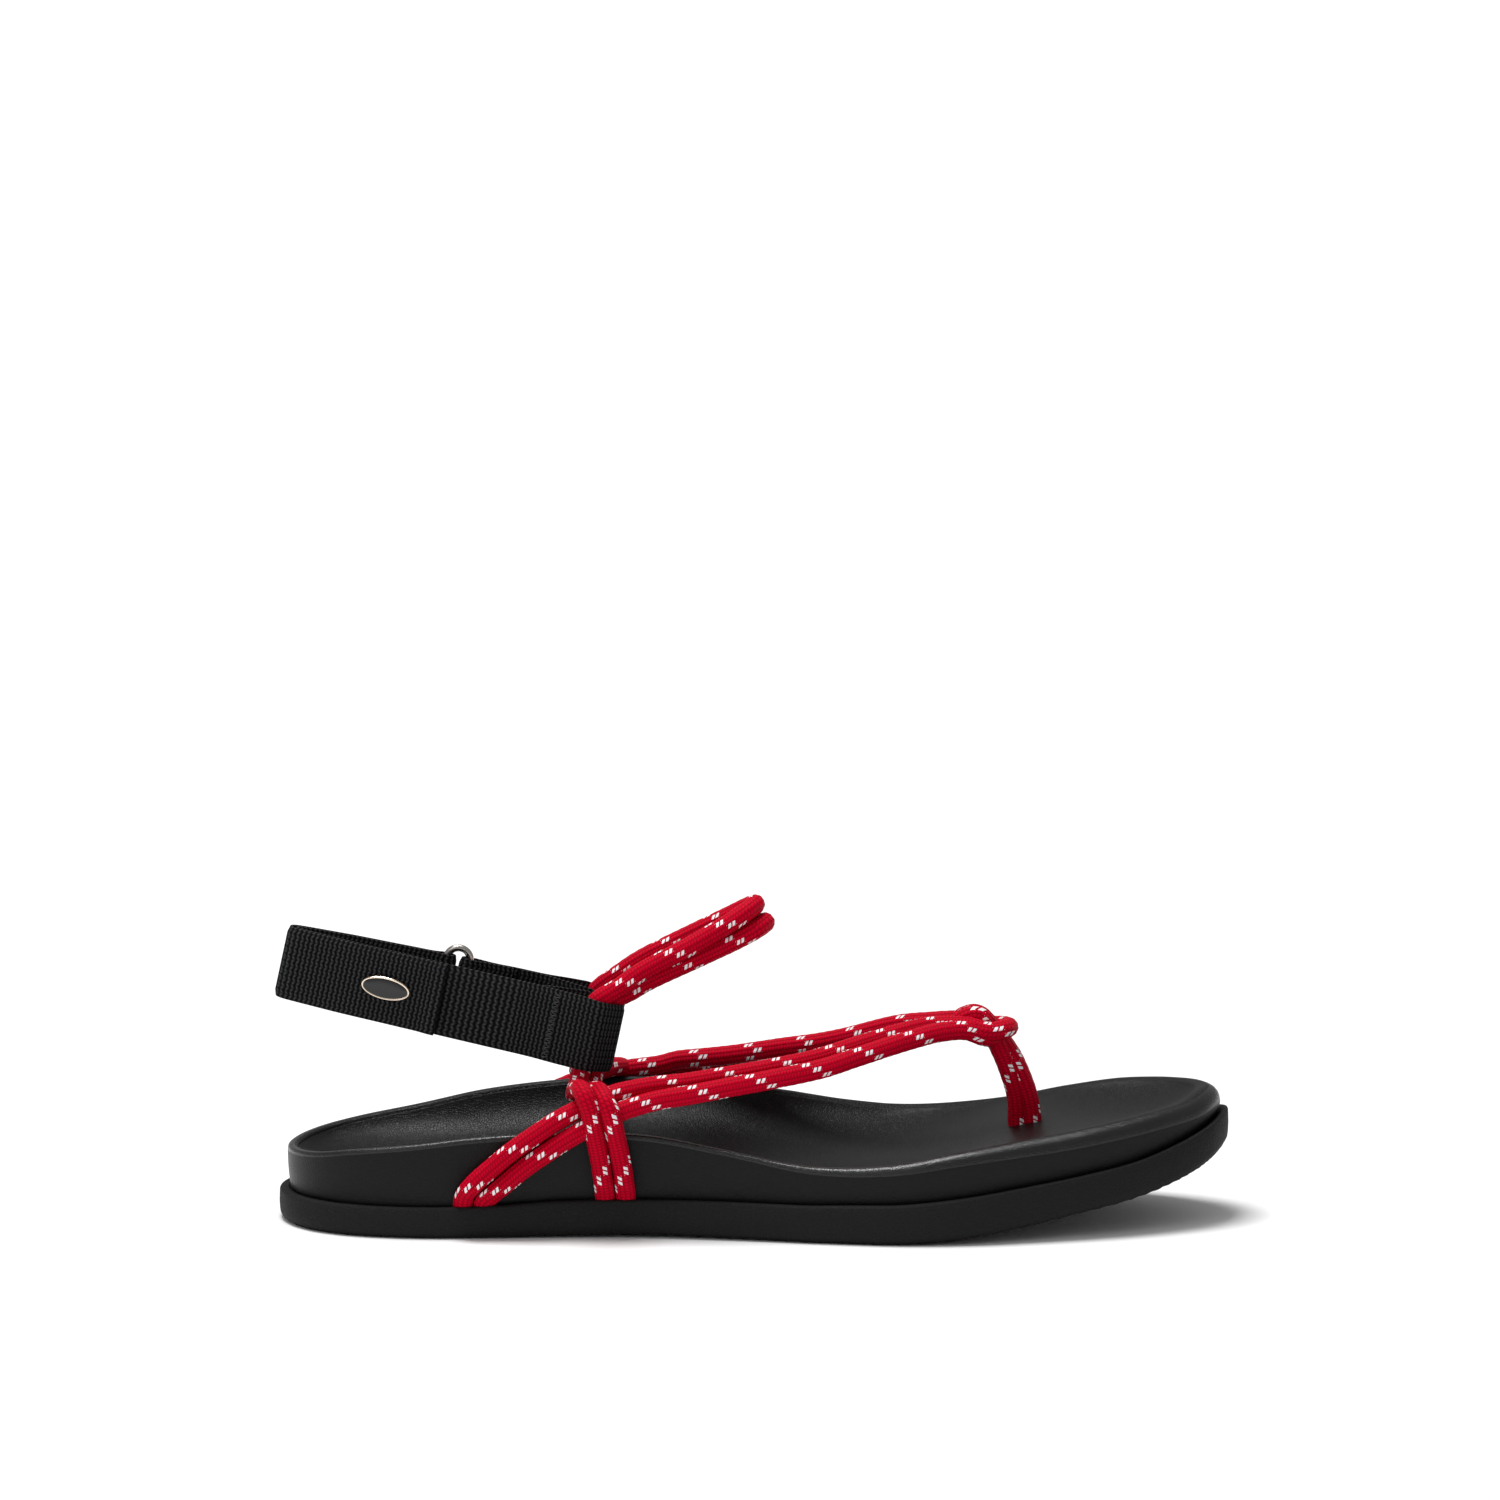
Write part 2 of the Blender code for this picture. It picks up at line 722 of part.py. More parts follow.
def slot(name, places, half_x, half_y, finish):
    """A cutter with round corners that follows the rope ends into the sole, one gap wider than they are."""
    corner = ROPE_RADIUS + FIT
    form = bmesh.new()
    rings = []
    for place in places:
        ring = []
        for number in range(16):
            angle = 2 * math.pi * (number + 0.5) / 16
            x = math.copysign(half_x - ROPE_RADIUS, math.cos(angle)) + corner * math.cos(angle)
            y = math.copysign(half_y - ROPE_RADIUS, math.sin(angle)) + corner * math.sin(angle)
            ring.append(form.verts.new(place + Vector((x, y, 0.0))))
        rings.append(ring)
    for first, second in zip(rings, rings[1:]):
        join_rings(form, first, second)
    form.faces.new(rings[0][::-1])
    form.faces.new(rings[-1])
    return as_helper(add_object(name, form, finish))


def cut_rope_ways(pieces, finish):
    """Slots in the sole for the ends of each rope pair and for the toe post."""
    ways = bpy.data.collections.new("rope_ways")
    bpy.context.scene.collection.children.link(ways)
    deep = Vector((0.0, 0.0, -2 * FIT))
    pair = ROPE_SPACING / 2 + ROPE_RADIUS
    cutters = []
    for name, table in (
        ("outer_vamp", OUTER_VAMP),
        ("inner_vamp", INNER_VAMP),
        ("outer_instep", OUTER_INSTEP),
        ("inner_instep", INNER_INSTEP),
    ):
        places = [rope_point(*row[:3]) for row in table[:3]]
        places[0] = places[0] + deep
        cutters.append(slot(f"way_{name}", places, pair, ROPE_RADIUS, finish))
    rear, front = POST_REAR_OUTER, POST_FRONT_INNER
    places = [(rope_point(*rear[row]) + rope_point(*front[row])) / 2 for row in (0, 1, 2)]
    places[0] = places[0] + deep
    spread = (rope_point(*front[0]) - rope_point(*rear[0])) / 2
    cutters.append(slot("way_post", places, spread.x + ROPE_RADIUS, spread.y + ROPE_RADIUS, finish))
    for way in cutters:
        bpy.context.scene.collection.objects.unlink(way)
        ways.objects.link(way)
    for piece in pieces:
        cut = piece.modifiers.new("rope ways", "BOOLEAN")
        cut.operation = "DIFFERENCE"
        cut.operand_type = "COLLECTION"
        cut.collection = ways
        cut.solver = "EXACT"


# The pieces of the heel strap


def ribbon(name, path, finish):
    """A webbing strip that stands on edge along a path in the strap's plane, its upper edge dipped at the front."""
    form = bmesh.new()
    rings = []
    for index, point in enumerate(path):
        before = path[max(index - 1, 0)]
        after = path[min(index + 1, len(path) - 1)]
        run = (after - before).normalized()
        aside = Vector((-run.y, run.x, 0.0)) * (STRAP_THICK / 2)
        ring = []
        dip = STRAP_DIP * max(point.x / STRAP_REACH - DIP_START, 0.0) / (1 - DIP_START)
        for edge, height in ((1, 0.5), (1, -0.5), (-1, -0.5), (-1, 0.5)):
            spot = point + aside * edge
            spot.z = height * STRAP_WIDTH - (dip if height > 0 else 0.0)
            ring.append(form.verts.new(flared(spot)))
        rings.append(ring)
    for first, second in zip(rings, rings[1:]):
        join_rings(form, first, second)
    form.faces.new(rings[0][::-1])
    form.faces.new(rings[-1])
    return add_object(name, form, finish)


def arc(centre, radius, start, end, count):
    """Points on a turn in the strap's plane, angles in degrees from forward, growing towards +Y."""
    made = []
    for number in range(count + 1):
        angle = math.radians(mix(start, end, number / count))
        made.append(centre + Vector((math.cos(angle), math.sin(angle), 0.0)) * radius)
    return made


def leg(start, end, side, shift, count):
    """Points of one leg of the loop between two shares of the reach, shifted out from its middle layer."""
    made = []
    for number in range(count + 1):
        forward = mix(start, end, number / count) * STRAP_REACH
        made.append(Vector((forward, side * (strap_half(forward) + shift), 0.0)))
    return made


def strap_frame():
    frame = bpy.data.objects.new("strap_frame", None)
    frame.matrix_world = strap_place()
    bpy.context.scene.collection.objects.link(frame)
    return frame


def rope_loop(side):
    """The front loop of one side, round the two strands of an instep pair: its inner leg first."""
    half_layer = (STRAP_THICK + FIT) / 2
    fold = loop_fold()
    rear, front = loop_seats(side)
    stitch = STITCH_PLACE * STRAP_REACH
    out = Vector((0.0, side, 0.0))
    shut = Vector((stitch, 0.0, 0.0)) + out * (strap_half(stitch) - 2 * half_layer)
    face = 90 - math.degrees(LOOP_SKEW)
    inner = [shut - out * half_layer, (shut - out * half_layer).lerp(front - out * fold, 0.5) - out * fold * 0.2]
    turn = arc(front, fold, -100 * side, face * side, 7) + arc(rear, fold, face * side, 84 * side, 3)
    outer = [(shut + out * half_layer).lerp(rear + out * fold, 0.5) + out * fold * 0.1, shut + out * half_layer]
    return inner + turn + outer


def ring_bars():
    """Middles of the ring's rear and front upright bars."""
    forward = RING_PLACE * STRAP_REACH
    middle = Vector((forward, strap_half(forward), 0.0))
    half = Vector(((RING_WIDTH - RING_WIRE) / 2, 0.0, 0.0))
    return middle - half, middle + half


def bar_fold():
    """Radius of the webbing's middle line where it turns round a bar of the ring."""
    return RING_WIRE / 2 + FIT * 1.5 + STRAP_THICK / 2


def build_strap(finish):
    """The heel strap: outer front loop, round the heel, through the ring and back over itself to the outer side."""
    layer = STRAP_THICK + FIT
    back = strap_half(0.0)
    bar = ring_bars()[0]
    near = bar.x / STRAP_REACH - 0.04

    points = rope_loop(-1)
    points += leg(STITCH_PLACE - 0.1, 0.12, -1, -layer / 2, 8)
    points += arc(Vector((back, 0.0, 0.0)), back - layer / 2, -110, -250, 6)
    points += leg(0.12, near, 1, -layer / 2, 5)
    points += arc(bar, bar_fold(), -90, 90, 6)
    points += leg(near, 0.12, 1, layer / 2, 5)
    points += arc(Vector((back, 0.0, 0.0)), back + layer / 2, 110, 250, 6)
    points += leg(0.12, CLOSURE_END, -1, layer / 2, 6)
    return ribbon("heel_strap", points, finish)


def build_ring_tab(finish):
    """The short webbing loop between the ring and the inner instep ropes, open where its end is sewn down."""
    layer = STRAP_THICK + FIT
    bar = ring_bars()[1]
    near = bar.x / STRAP_REACH + 0.07

    points = leg(STITCH_PLACE - 0.10, near, 1, -layer, 1)
    points += arc(bar, bar_fold(), -90, -270, 6)
    points += leg(near, STITCH_PLACE - 0.09, 1, 0.0, 1)
    points += rope_loop(1)[::-1]
    points += leg(STITCH_PLACE - 0.04, STITCH_PLACE - 0.08, 1, -layer, 1)
    return ribbon("ring_tab", points, finish)


def build_ring(finish):
    """The oval metal ring, standing across the strap."""
    rear, front = ring_bars()
    centre = (rear + front) / 2
    half_x = (front - rear).length / 2
    half_z = (RING_HEIGHT - RING_WIRE) / 2
    form = bmesh.new()
    rings = []
    count = 24
    for number in range(count):
        angle = 2 * math.pi * (number + 0.5) / count
        away = Vector((math.cos(angle), 0.0, math.sin(angle)))
        straight = Vector((0.0, 0.0, math.copysign(half_z - half_x, math.sin(angle))))
        middle = centre + straight + away * half_x
        ring = []
        for side in range(8):
            turn = 2 * math.pi * side / 8
            spot = middle + (away * math.cos(turn) + Vector((0.0, 1.0, 0.0)) * math.sin(turn)) * (RING_WIRE / 2)
            ring.append(form.verts.new(flared(spot)))
        rings.append(ring)
    for number in range(count):
        join_rings(form, rings[number], rings[(number + 1) % count])
    return add_object("ring", form, finish)


def build_badge(finish):
    """The small oval badge on the outer layer of the strap, its face bare."""
    forward = BADGE_PLACE * STRAP_REACH
    layer = STRAP_THICK + FIT
    behind = forward - BADGE_LENGTH / 2
    ahead = forward + BADGE_LENGTH / 2
    surface = STRAP_THICK / 2 + layer / 2
    turn = math.atan2(strap_half(ahead) - strap_half(behind), BADGE_LENGTH)
    run = Vector((math.cos(turn), -math.sin(turn), 0.0))
    away = Vector((-math.sin(turn), -math.cos(turn), 0.0))
    base = Vector((forward, -(strap_half(forward) + surface), 0.0))
    form = bmesh.new()
    rings = []
    for size, lift in ((1.0, 0.0), (1.0, 0.7), (0.93, 1.0)):
        ring = []
        for number in range(24):
            angle = 2 * math.pi * number / 24
            spot = base + away * (FIT * 1.6 + BADGE_THICK * lift)
            spot = spot + run * (BADGE_LENGTH / 2 * size * math.cos(angle))
            spot.z += BADGE_HEIGHT / 2 * size * math.sin(angle)
            ring.append(form.verts.new(flared(spot)))
        rings.append(ring)
    for first, second in zip(rings, rings[1:]):
        join_rings(form, first, second)
    form.faces.new(rings[0][::-1])
    form.faces.new(rings[-1])
    return add_object("badge", form, finish)


start_empty()
rubber = material("rubber", (0.012, 0.012, 0.013), 0.75)
leather = material("leather", (0.014, 0.014, 0.015), 0.45)
rope = material("rope", (0.54, 0.002, 0.02), 0.6)
webbing = material("webbing", (0.010, 0.010, 0.011), 0.8)
steel = material("steel", (0.42, 0.38, 0.34), 0.3, 1.0)
enamel = material("enamel", (0.02, 0.02, 0.022), 0.15, 0.6)

sole_outline = outline_points()
outsole = build_outsole(sole_outline, rubber)
footbed = build_footbed(sole_outline, leather)
build_upper(rope)
cut_rope_ways((outsole, footbed), rope)

frame = strap_frame()
for piece in (build_strap(webbing), build_ring_tab(webbing), build_ring(steel), build_badge(enamel)):
    piece.parent = frame
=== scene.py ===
"""Rope sandal for the right foot, dressed on its fixed frame.

In the order of making: outsole, footbed, rope upper, heel strap, ring tab, stitching, ring and badge."""

import functools
import itertools
import math

import bmesh
import bpy
from mathutils import Matrix, Vector


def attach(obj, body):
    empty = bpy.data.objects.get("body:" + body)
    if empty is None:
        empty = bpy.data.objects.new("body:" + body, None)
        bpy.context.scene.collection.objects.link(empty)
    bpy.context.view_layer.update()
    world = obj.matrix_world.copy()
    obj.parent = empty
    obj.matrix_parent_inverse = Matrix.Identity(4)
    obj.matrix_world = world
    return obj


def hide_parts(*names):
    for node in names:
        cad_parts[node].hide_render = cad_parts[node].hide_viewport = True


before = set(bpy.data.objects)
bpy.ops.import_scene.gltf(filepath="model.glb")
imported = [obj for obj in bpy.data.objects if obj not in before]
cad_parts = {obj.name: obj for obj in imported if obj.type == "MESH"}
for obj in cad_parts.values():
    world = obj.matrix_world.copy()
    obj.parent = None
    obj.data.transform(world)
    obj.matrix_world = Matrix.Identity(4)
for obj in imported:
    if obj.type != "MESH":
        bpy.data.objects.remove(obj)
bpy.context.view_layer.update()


# Outsole
# Moulded black rubber with a fine pebble on its side, a 3 mm welt that stands out all round and a
# serrated tread edge under the toe. The outline and heights are those of the last.

SOLE_LENGTH = 0.258
SOLE_MIDDLE = 0.500
BALL_WIDTH = 0.0855
OUTSOLE_THICK = 0.0104
TOE_SPRING = 0.0202
WELT_WIDTH = 0.003
TREAD_EDGE = 0.0018
SEAT_SINK = 0.0006
SPINE_SHARE = 0.78
AXIS_SHARE = 0.04
OUTLINE_STEP = SOLE_LENGTH / 2400
SIDE_POINTS = 300
SERRATION_PITCH = 0.0011
SERRATION_DEPTH = 0.00035
SERRATION_START = 0.17
SERRATION_FADE = 0.08

# Outline of the outsole from heel to toe, one row a section
# along: share of the sole's length; outer, inner: shares of the ball width, from the axis
OUTLINE = (
    (0.0000, 0.000, 0.000),
    (0.0100, 0.142, 0.142),
    (0.0350, 0.254, 0.252),
    (0.0740, 0.332, 0.330),
    (0.1320, 0.378, 0.376),
    (0.2100, 0.388, 0.378),
    (0.3060, 0.379, 0.364),
    (0.4030, 0.382, 0.366),
    (0.5000, 0.423, 0.405),
    (0.5800, 0.470, 0.455),
    (0.6550, 0.498, 0.492),
    (0.7250, 0.485, 0.500),
    (0.7900, 0.437, 0.474),
    (0.8550, 0.375, 0.420),
    (0.9100, 0.300, 0.360),
    (0.9570, 0.205, 0.275),
    (0.9860, 0.105, 0.180),
    (1.0000, -0.036, 0.036),
)

# Heights along the sole, one row a section
# along: share of the length; tread: share of the toe spring, flat on the floor where it is below zero
# thick: share of the outsole's thickness
# outer, inner: rim over the welt, as shares of the footbed's wall; bed: middle of the footbed over the welt
HEIGHTS = (
    (0.000, -0.004, 0.830, 0.575, 0.575, 0.80),
    (0.035, -0.004, 0.830, 0.640, 0.640, 0.74),
    (0.074, -0.004, 0.825, 0.735, 0.715, 0.70),
    (0.132, -0.004, 0.820, 0.825, 0.835, 0.70),
    (0.210, 0.008, 0.840, 0.925, 1.035, 0.84),
    (0.306, 0.036, 0.925, 0.905, 1.120, 1.00),
    (0.384, 0.046, 0.925, 0.860, 1.140, 1.10),
    (0.461, 0.028, 0.950, 0.705, 1.050, 1.06),
    (0.539, 0.006, 0.970, 0.540, 0.910, 0.88),
    (0.597, -0.010, 1.020, 0.490, 0.750, 0.74),
    (0.655, 0.006, 1.055, 0.530, 0.640, 0.72),
    (0.713, 0.062, 1.085, 0.590, 0.580, 0.90),
    (0.779, 0.190, 1.060, 0.590, 0.570, 1.14),
    (0.845, 0.345, 1.000, 0.565, 0.640, 1.10),
    (0.900, 0.480, 0.990, 0.530, 0.650, 1.02),
    (0.942, 0.640, 1.000, 0.445, 0.550, 0.84),
    (0.973, 0.800, 0.990, 0.350, 0.430, 0.68),
    (1.000, 1.000, 0.930, 0.290, 0.290, 0.56),
)


def mix(low, high, share):
    return low + (high - low) * share


def read_table(table, place, column):
    """A smooth value between a table's rows, by the cubic through the rows on both sides."""
    last = len(table) - 1
    place = min(max(place, table[0][0]), table[last][0])
    row = 0
    while row < last - 1 and table[row + 1][0] < place:
        row += 1

    def slope(index):
        before = max(index - 1, 0)
        after = min(index + 1, last)
        return (table[after][column] - table[before][column]) / (table[after][0] - table[before][0])

    span = table[row + 1][0] - table[row][0]
    part = (place - table[row][0]) / span
    start = table[row][column]
    end = table[row + 1][column]
    turn_start = slope(row) * span
    turn_end = slope(row + 1) * span
    square = part * part
    cube = square * part
    return (
        start * (2 * cube - 3 * square + 1)
        + turn_start * (cube - 2 * square + part)
        + end * (3 * square - 2 * cube)
        + turn_end * (cube - square)
    )


def lengths_along(path):
    """The length of a path up to each of its points."""
    steps = [(second - first).length for first, second in zip(path, path[1:])]
    return list(itertools.accumulate(steps, initial=0.0))


def smooth_path(points, step, closed=False):
    """Points a step apart along a centripetal curve through the given points."""
    points = [Vector(point) for point in points]
    if closed:
        points = [points[-1]] + points + [points[0], points[1]]
    else:
        points = [points[0] * 2 - points[1]] + points + [points[-1] * 2 - points[-2]]
    fine = []
    for index in range(1, len(points) - 2):
        corners = points[index - 1 : index + 3]
        knots = [0.0]
        for first, second in zip(corners, corners[1:]):
            knots.append(knots[-1] + max((second - first).length, 1e-6) ** 0.5)
        count = max(2, math.ceil((corners[2] - corners[1]).length / step) * 4)
        for part in range(count):
            at = mix(knots[1], knots[2], part / count)
            level = corners
            for spans in (((0, 1), (1, 2), (2, 3)), ((0, 2), (1, 3)), ((1, 2),)):
                level = [
                    level[i].lerp(level[i + 1], (at - knots[a]) / (knots[b] - knots[a]))
                    for i, (a, b) in enumerate(spans)
                ]
            fine.append(level[0])
    fine.append(fine[0].copy() if closed else points[-2])
    lengths = lengths_along(fine)
    count = max(3, round(lengths[-1] / step))
    even = []
    at = 0
    for number in range(count if closed else count + 1):
        goal = lengths[-1] * number / count
        while at < len(fine) - 2 and lengths[at + 1] < goal:
            at += 1
        span = max(lengths[at + 1] - lengths[at], 1e-9)
        even.append(fine[at].lerp(fine[at + 1], (goal - lengths[at]) / span))
    return even


def station_x(along):
    return (along - SOLE_MIDDLE) * SOLE_LENGTH


def outline_points():
    """The outsole's outline as a closed ring: the heel, the outer side, the toe, the inner side."""
    outer = [Vector((station_x(row[0]), -row[1] * BALL_WIDTH, 0)) for row in OUTLINE]
    inner = [Vector((station_x(row[0]), row[2] * BALL_WIDTH, 0)) for row in OUTLINE]
    corners = outer + inner[-2:0:-1]
    ring = smooth_path(corners, OUTLINE_STEP, closed=True)
    toe = max(range(len(ring)), key=lambda index: ring[index].x)
    halves = []
    for side in (ring[: toe + 1], ring[toe:] + [ring[0]]):
        lengths = lengths_along(side)
        even = []
        for number in range(SIDE_POINTS + 1):
            goal = lengths[-1] * number / SIDE_POINTS
            at = next(index for index, length in enumerate(lengths) if length >= goal - 1e-9)
            even.append(side[at])
        halves.append(even)
    return halves[0] + halves[1][1:-1]


def spine_of(point):
    """The point on the sole's axis that a point of the outline is drawn in towards."""
    return Vector((point.x * SPINE_SHARE, 0.0, 0.0))


def along_of(x):
    return min(max(x / SOLE_LENGTH + SOLE_MIDDLE, 0.0), 1.0)


def tread_z(x):
    return max(read_table(HEIGHTS, along_of(x), 1), 0.0) * TOE_SPRING


def welt_z(x):
    return tread_z(x) + read_table(HEIGHTS, along_of(x), 2) * OUTSOLE_THICK


def drawn_in(point, inset):
    """A point of the outline moved in towards the axis by a length."""
    spine = spine_of(point)
    away = point - spine
    return spine + away * max(1 - inset / away.length, 0.02)


def drawn_to(point, share):
    """A point a share of the way out from the axis to the outline."""
    spine = spine_of(point)
    return spine + (point - spine) * share


def next_ring(form, edges, spots):
    """Extrudes a closed loop of edges and sets each new vertex on the spot of its station."""
    station = form.verts.layers.int["station"]
    made = bmesh.ops.extrude_edge_only(form, edges=edges)["geom"]
    grown = {vert for vert in made if isinstance(vert, bmesh.types.BMVert)}
    for vert in grown:
        vert.co = spots[vert[station]]
    return [edge for edge in made if isinstance(edge, bmesh.types.BMEdge) and set(edge.verts) <= grown]


def first_ring(form, spots):
    """A closed loop of edges through the spots, each vertex marked with its station."""
    station = form.verts.layers.int.new("station")
    circle = bmesh.ops.create_circle(form, cap_ends=False, segments=len(spots), radius=1.0)["verts"]
    for number, vert in enumerate(circle):
        vert[station] = number
        vert.co = spots[number]
    return list(form.edges)


def close_over_axis(form, edges):
    """Closes a ring of the sole: its outer half is bridged to its inner half, then the heel and toe ends."""
    station = form.verts.layers.int["station"]
    ring = {vert[station]: vert for edge in edges for vert in edge.verts}
    ends = {ring[0], ring[SIDE_POINTS]}
    halves = [edge for edge in edges if not ends & set(edge.verts)]
    bmesh.ops.bridge_loops(form, edges=halves)
    for end in (0, SIDE_POINTS):
        corner = [ring[(end + shift) % len(ring)] for shift in (-1, 0, 1)]
        bmesh.ops.contextual_create(form, geom=corner)


def cap(form, edges):
    """Closes a ring with one face, in the finish of the band beside it."""
    beside = edges[0].link_faces
    bmesh.ops.contextual_create(form, geom=edges, mat_nr=beside[0].material_index if beside else 0)


def skinned(rings, close=None, second_finish=()):
    """A body skinned over rings in turn, its ends closed. The bands in second_finish take the second slot."""
    form = bmesh.new()
    row = form.verts.layers.int.new("row")
    edges = first_ring(form, rings[0])
    if close:
        close(form, edges)
    for number, spots in enumerate(rings[1:], 1):
        edges = next_ring(form, edges, spots)
        for edge in edges:
            for vert in edge.verts:
                vert[row] = number
            for face in edge.link_faces:
                face.material_index = int(number in second_finish)
    if close:
        close(form, edges)
    return form


def placed(name, data):
    """A new object in the scene."""
    made = bpy.data.objects.new(name, data)
    bpy.context.scene.collection.objects.link(made)
    return made


def finished(name, form, finishes, node, angle=40):
    """Makes the object, smooth with its sharp edges kept, and lets it stand for its node on the fixed frame."""
    bmesh.ops.recalc_face_normals(form, faces=form.faces)
    mesh = bpy.data.meshes.new(name)
    form.to_mesh(mesh)
    form.free()
    for finish in finishes:
        mesh.materials.append(finish)
    mesh.shade_smooth()
    mesh.set_sharp_from_angle(angle=math.radians(angle))
    piece = placed(name, mesh)
    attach(piece, "root")
    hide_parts(node)


def serration(x):
    """Depth of the fine cuts across the tread's edge, which start ahead of the ball and fade in to the toe."""
    strength = (x - SOLE_LENGTH * SERRATION_START) / (SOLE_LENGTH * SERRATION_FADE)
    strength = min(max(strength, 0.0), 1.0)
    return SERRATION_DEPTH * strength * (0.5 + 0.5 * math.cos(2 * math.pi * x / SERRATION_PITCH))


sole_outline = outline_points()

# Rings of the outsole, from the middle of the tread over its edge and the welt to the middle of the seat:
# where a point p of the outline goes, and the height of the spot s where it lands
outsole_rings = (
    (lambda p: drawn_to(p, AXIS_SHARE), lambda s: tread_z(s.x)),
    (lambda p: drawn_to(p, 0.55), lambda s: tread_z(s.x)),
    (lambda p: drawn_to(p, 0.86), lambda s: tread_z(s.x)),
    (lambda p: drawn_in(p, TREAD_EDGE * 1.6), lambda s: tread_z(s.x) + serration(s.x) * 0.5),
    (lambda p: drawn_in(p, TREAD_EDGE * 0.9), lambda s: tread_z(s.x) + TREAD_EDGE * 0.12 + serration(s.x)),
    (lambda p: drawn_in(p, TREAD_EDGE * 0.4), lambda s: tread_z(s.x) + TREAD_EDGE * 0.45 + serration(s.x)),
    (lambda p: drawn_in(p, TREAD_EDGE * 0.08), lambda s: tread_z(s.x) + TREAD_EDGE * 0.95),
    (lambda p: drawn_in(p, 0), lambda s: tread_z(s.x) + TREAD_EDGE * 1.5),
    (lambda p: drawn_in(p, -0.00012), lambda s: mix(tread_z(s.x), welt_z(s.x), 0.55)),
    (lambda p: drawn_in(p, 0), lambda s: welt_z(s.x) - WELT_WIDTH * 0.28),
    (lambda p: drawn_in(p, WELT_WIDTH * 0.08), lambda s: welt_z(s.x) - WELT_WIDTH * 0.10),
    (lambda p: drawn_in(p, WELT_WIDTH * 0.28), lambda s: welt_z(s.x)),
    (lambda p: drawn_in(p, WELT_WIDTH * 0.80), lambda s: welt_z(s.x) - 0.0001),
    (lambda p: drawn_in(p, WELT_WIDTH * 0.97), lambda s: welt_z(s.x) - SEAT_SINK),
    (lambda p: drawn_in(p, WELT_WIDTH * 1.25), lambda s: welt_z(s.x) - SEAT_SINK),
    (lambda p: drawn_to(p, 0.6), lambda s: welt_z(s.x) - SEAT_SINK),
    (lambda p: drawn_to(p, AXIS_SHARE), lambda s: welt_z(s.x) - SEAT_SINK),
)


def sole_ring(place, height):
    """One ring of the sole, from where each point of the outline goes and the height there."""
    spots = [place(point) for point in sole_outline]
    return [Vector((spot.x, spot.y, height(spot))) for spot in spots]


def set_inputs(node, **values):
    """Sets a node's inputs by name, with _ for a space."""
    for name, value in values.items():
        node.inputs[name.replace("_", " ")].default_value = value


def grain_group():
    """A shader group that any hide or rubber can use: fine cells, soft mottling and a height for its bump."""
    group = bpy.data.node_groups.new("surface_grain", "ShaderNodeTree")
    face = group.interface
    cell = face.new_socket(name="Cells per metre", in_out="INPUT", socket_type="NodeSocketFloat")
    cell.default_value = 1500.0
    depth = face.new_socket(name="Crease", in_out="INPUT", socket_type="NodeSocketFloat")
    depth.default_value = 0.5
    face.new_socket(name="Height", in_out="OUTPUT", socket_type="NodeSocketFloat")
    face.new_socket(name="Mottle", in_out="OUTPUT", socket_type="NodeSocketFloat")
    nodes, links = group.nodes, group.links
    entry = nodes.new("NodeGroupInput")
    leave = nodes.new("NodeGroupOutput")
    place = nodes.new("ShaderNodeTexCoord")
    cells = nodes.new("ShaderNodeTexVoronoi")
    cells.feature = "DISTANCE_TO_EDGE"
    fine = nodes.new("ShaderNodeTexNoise")
    set_inputs(fine, Detail=4.0)
    broad = nodes.new("ShaderNodeTexNoise")
    set_inputs(broad, Scale=38.0, Detail=3.0)
    soften = nodes.new("ShaderNodeMapRange")
    set_inputs(soften, From_Max=0.14)
    mixed = nodes.new("ShaderNodeMix")
    links.new(place.outputs["Object"], cells.inputs["Vector"])
    links.new(place.outputs["Object"], fine.inputs["Vector"])
    links.new(place.outputs["Object"], broad.inputs["Vector"])
    links.new(entry.outputs["Cells per metre"], cells.inputs["Scale"])
    links.new(entry.outputs["Cells per metre"], fine.inputs["Scale"])
    links.new(cells.outputs["Distance"], soften.inputs["Value"])
    links.new(entry.outputs["Crease"], mixed.inputs["Factor"])
    links.new(fine.outputs["Fac"], mixed.inputs["A"])
    links.new(soften.outputs["Result"], mixed.inputs["B"])
    links.new(mixed.outputs["Result"], leave.inputs["Height"])
    links.new(broad.outputs["Fac"], leave.inputs["Mottle"])
    return group


surface_grain = grain_group()


def bumped(nodes, links, height, shader, strength, distance):
    """Lets a height over the surface tilt the shader's normal."""
    bump = nodes.new("ShaderNodeBump")
    set_inputs(bump, Strength=strength, Distance=distance)
    links.new(height, bump.inputs["Height"])
    links.new(bump.outputs["Normal"], shader.inputs["Normal"])


def coloured(nodes, links, mask, low, high):
    """A colour between two, by a mask that changes over the surface."""
    made = nodes.new("ShaderNodeMix")
    made.data_type = "RGBA"
    set_inputs(made, A=(*low, 1.0), B=(*high, 1.0))
    links.new(mask, made.inputs["Factor"])
    return made.outputs["Result"]


def ranged(nodes, links, value, low, high):
    """A value from 0 to 1 spread over a new range."""
    made = nodes.new("ShaderNodeMapRange")
    set_inputs(made, To_Min=low, To_Max=high)
    links.new(value, made.inputs["Value"])
    return made.outputs["Result"]


def blank_material(name):
    """A new material, with its nodes, its links and its shader."""
    made = bpy.data.materials.new(name)
    made.use_nodes = True
    tree = made.node_tree
    return made, tree.nodes, tree.links, tree.nodes["Principled BSDF"]


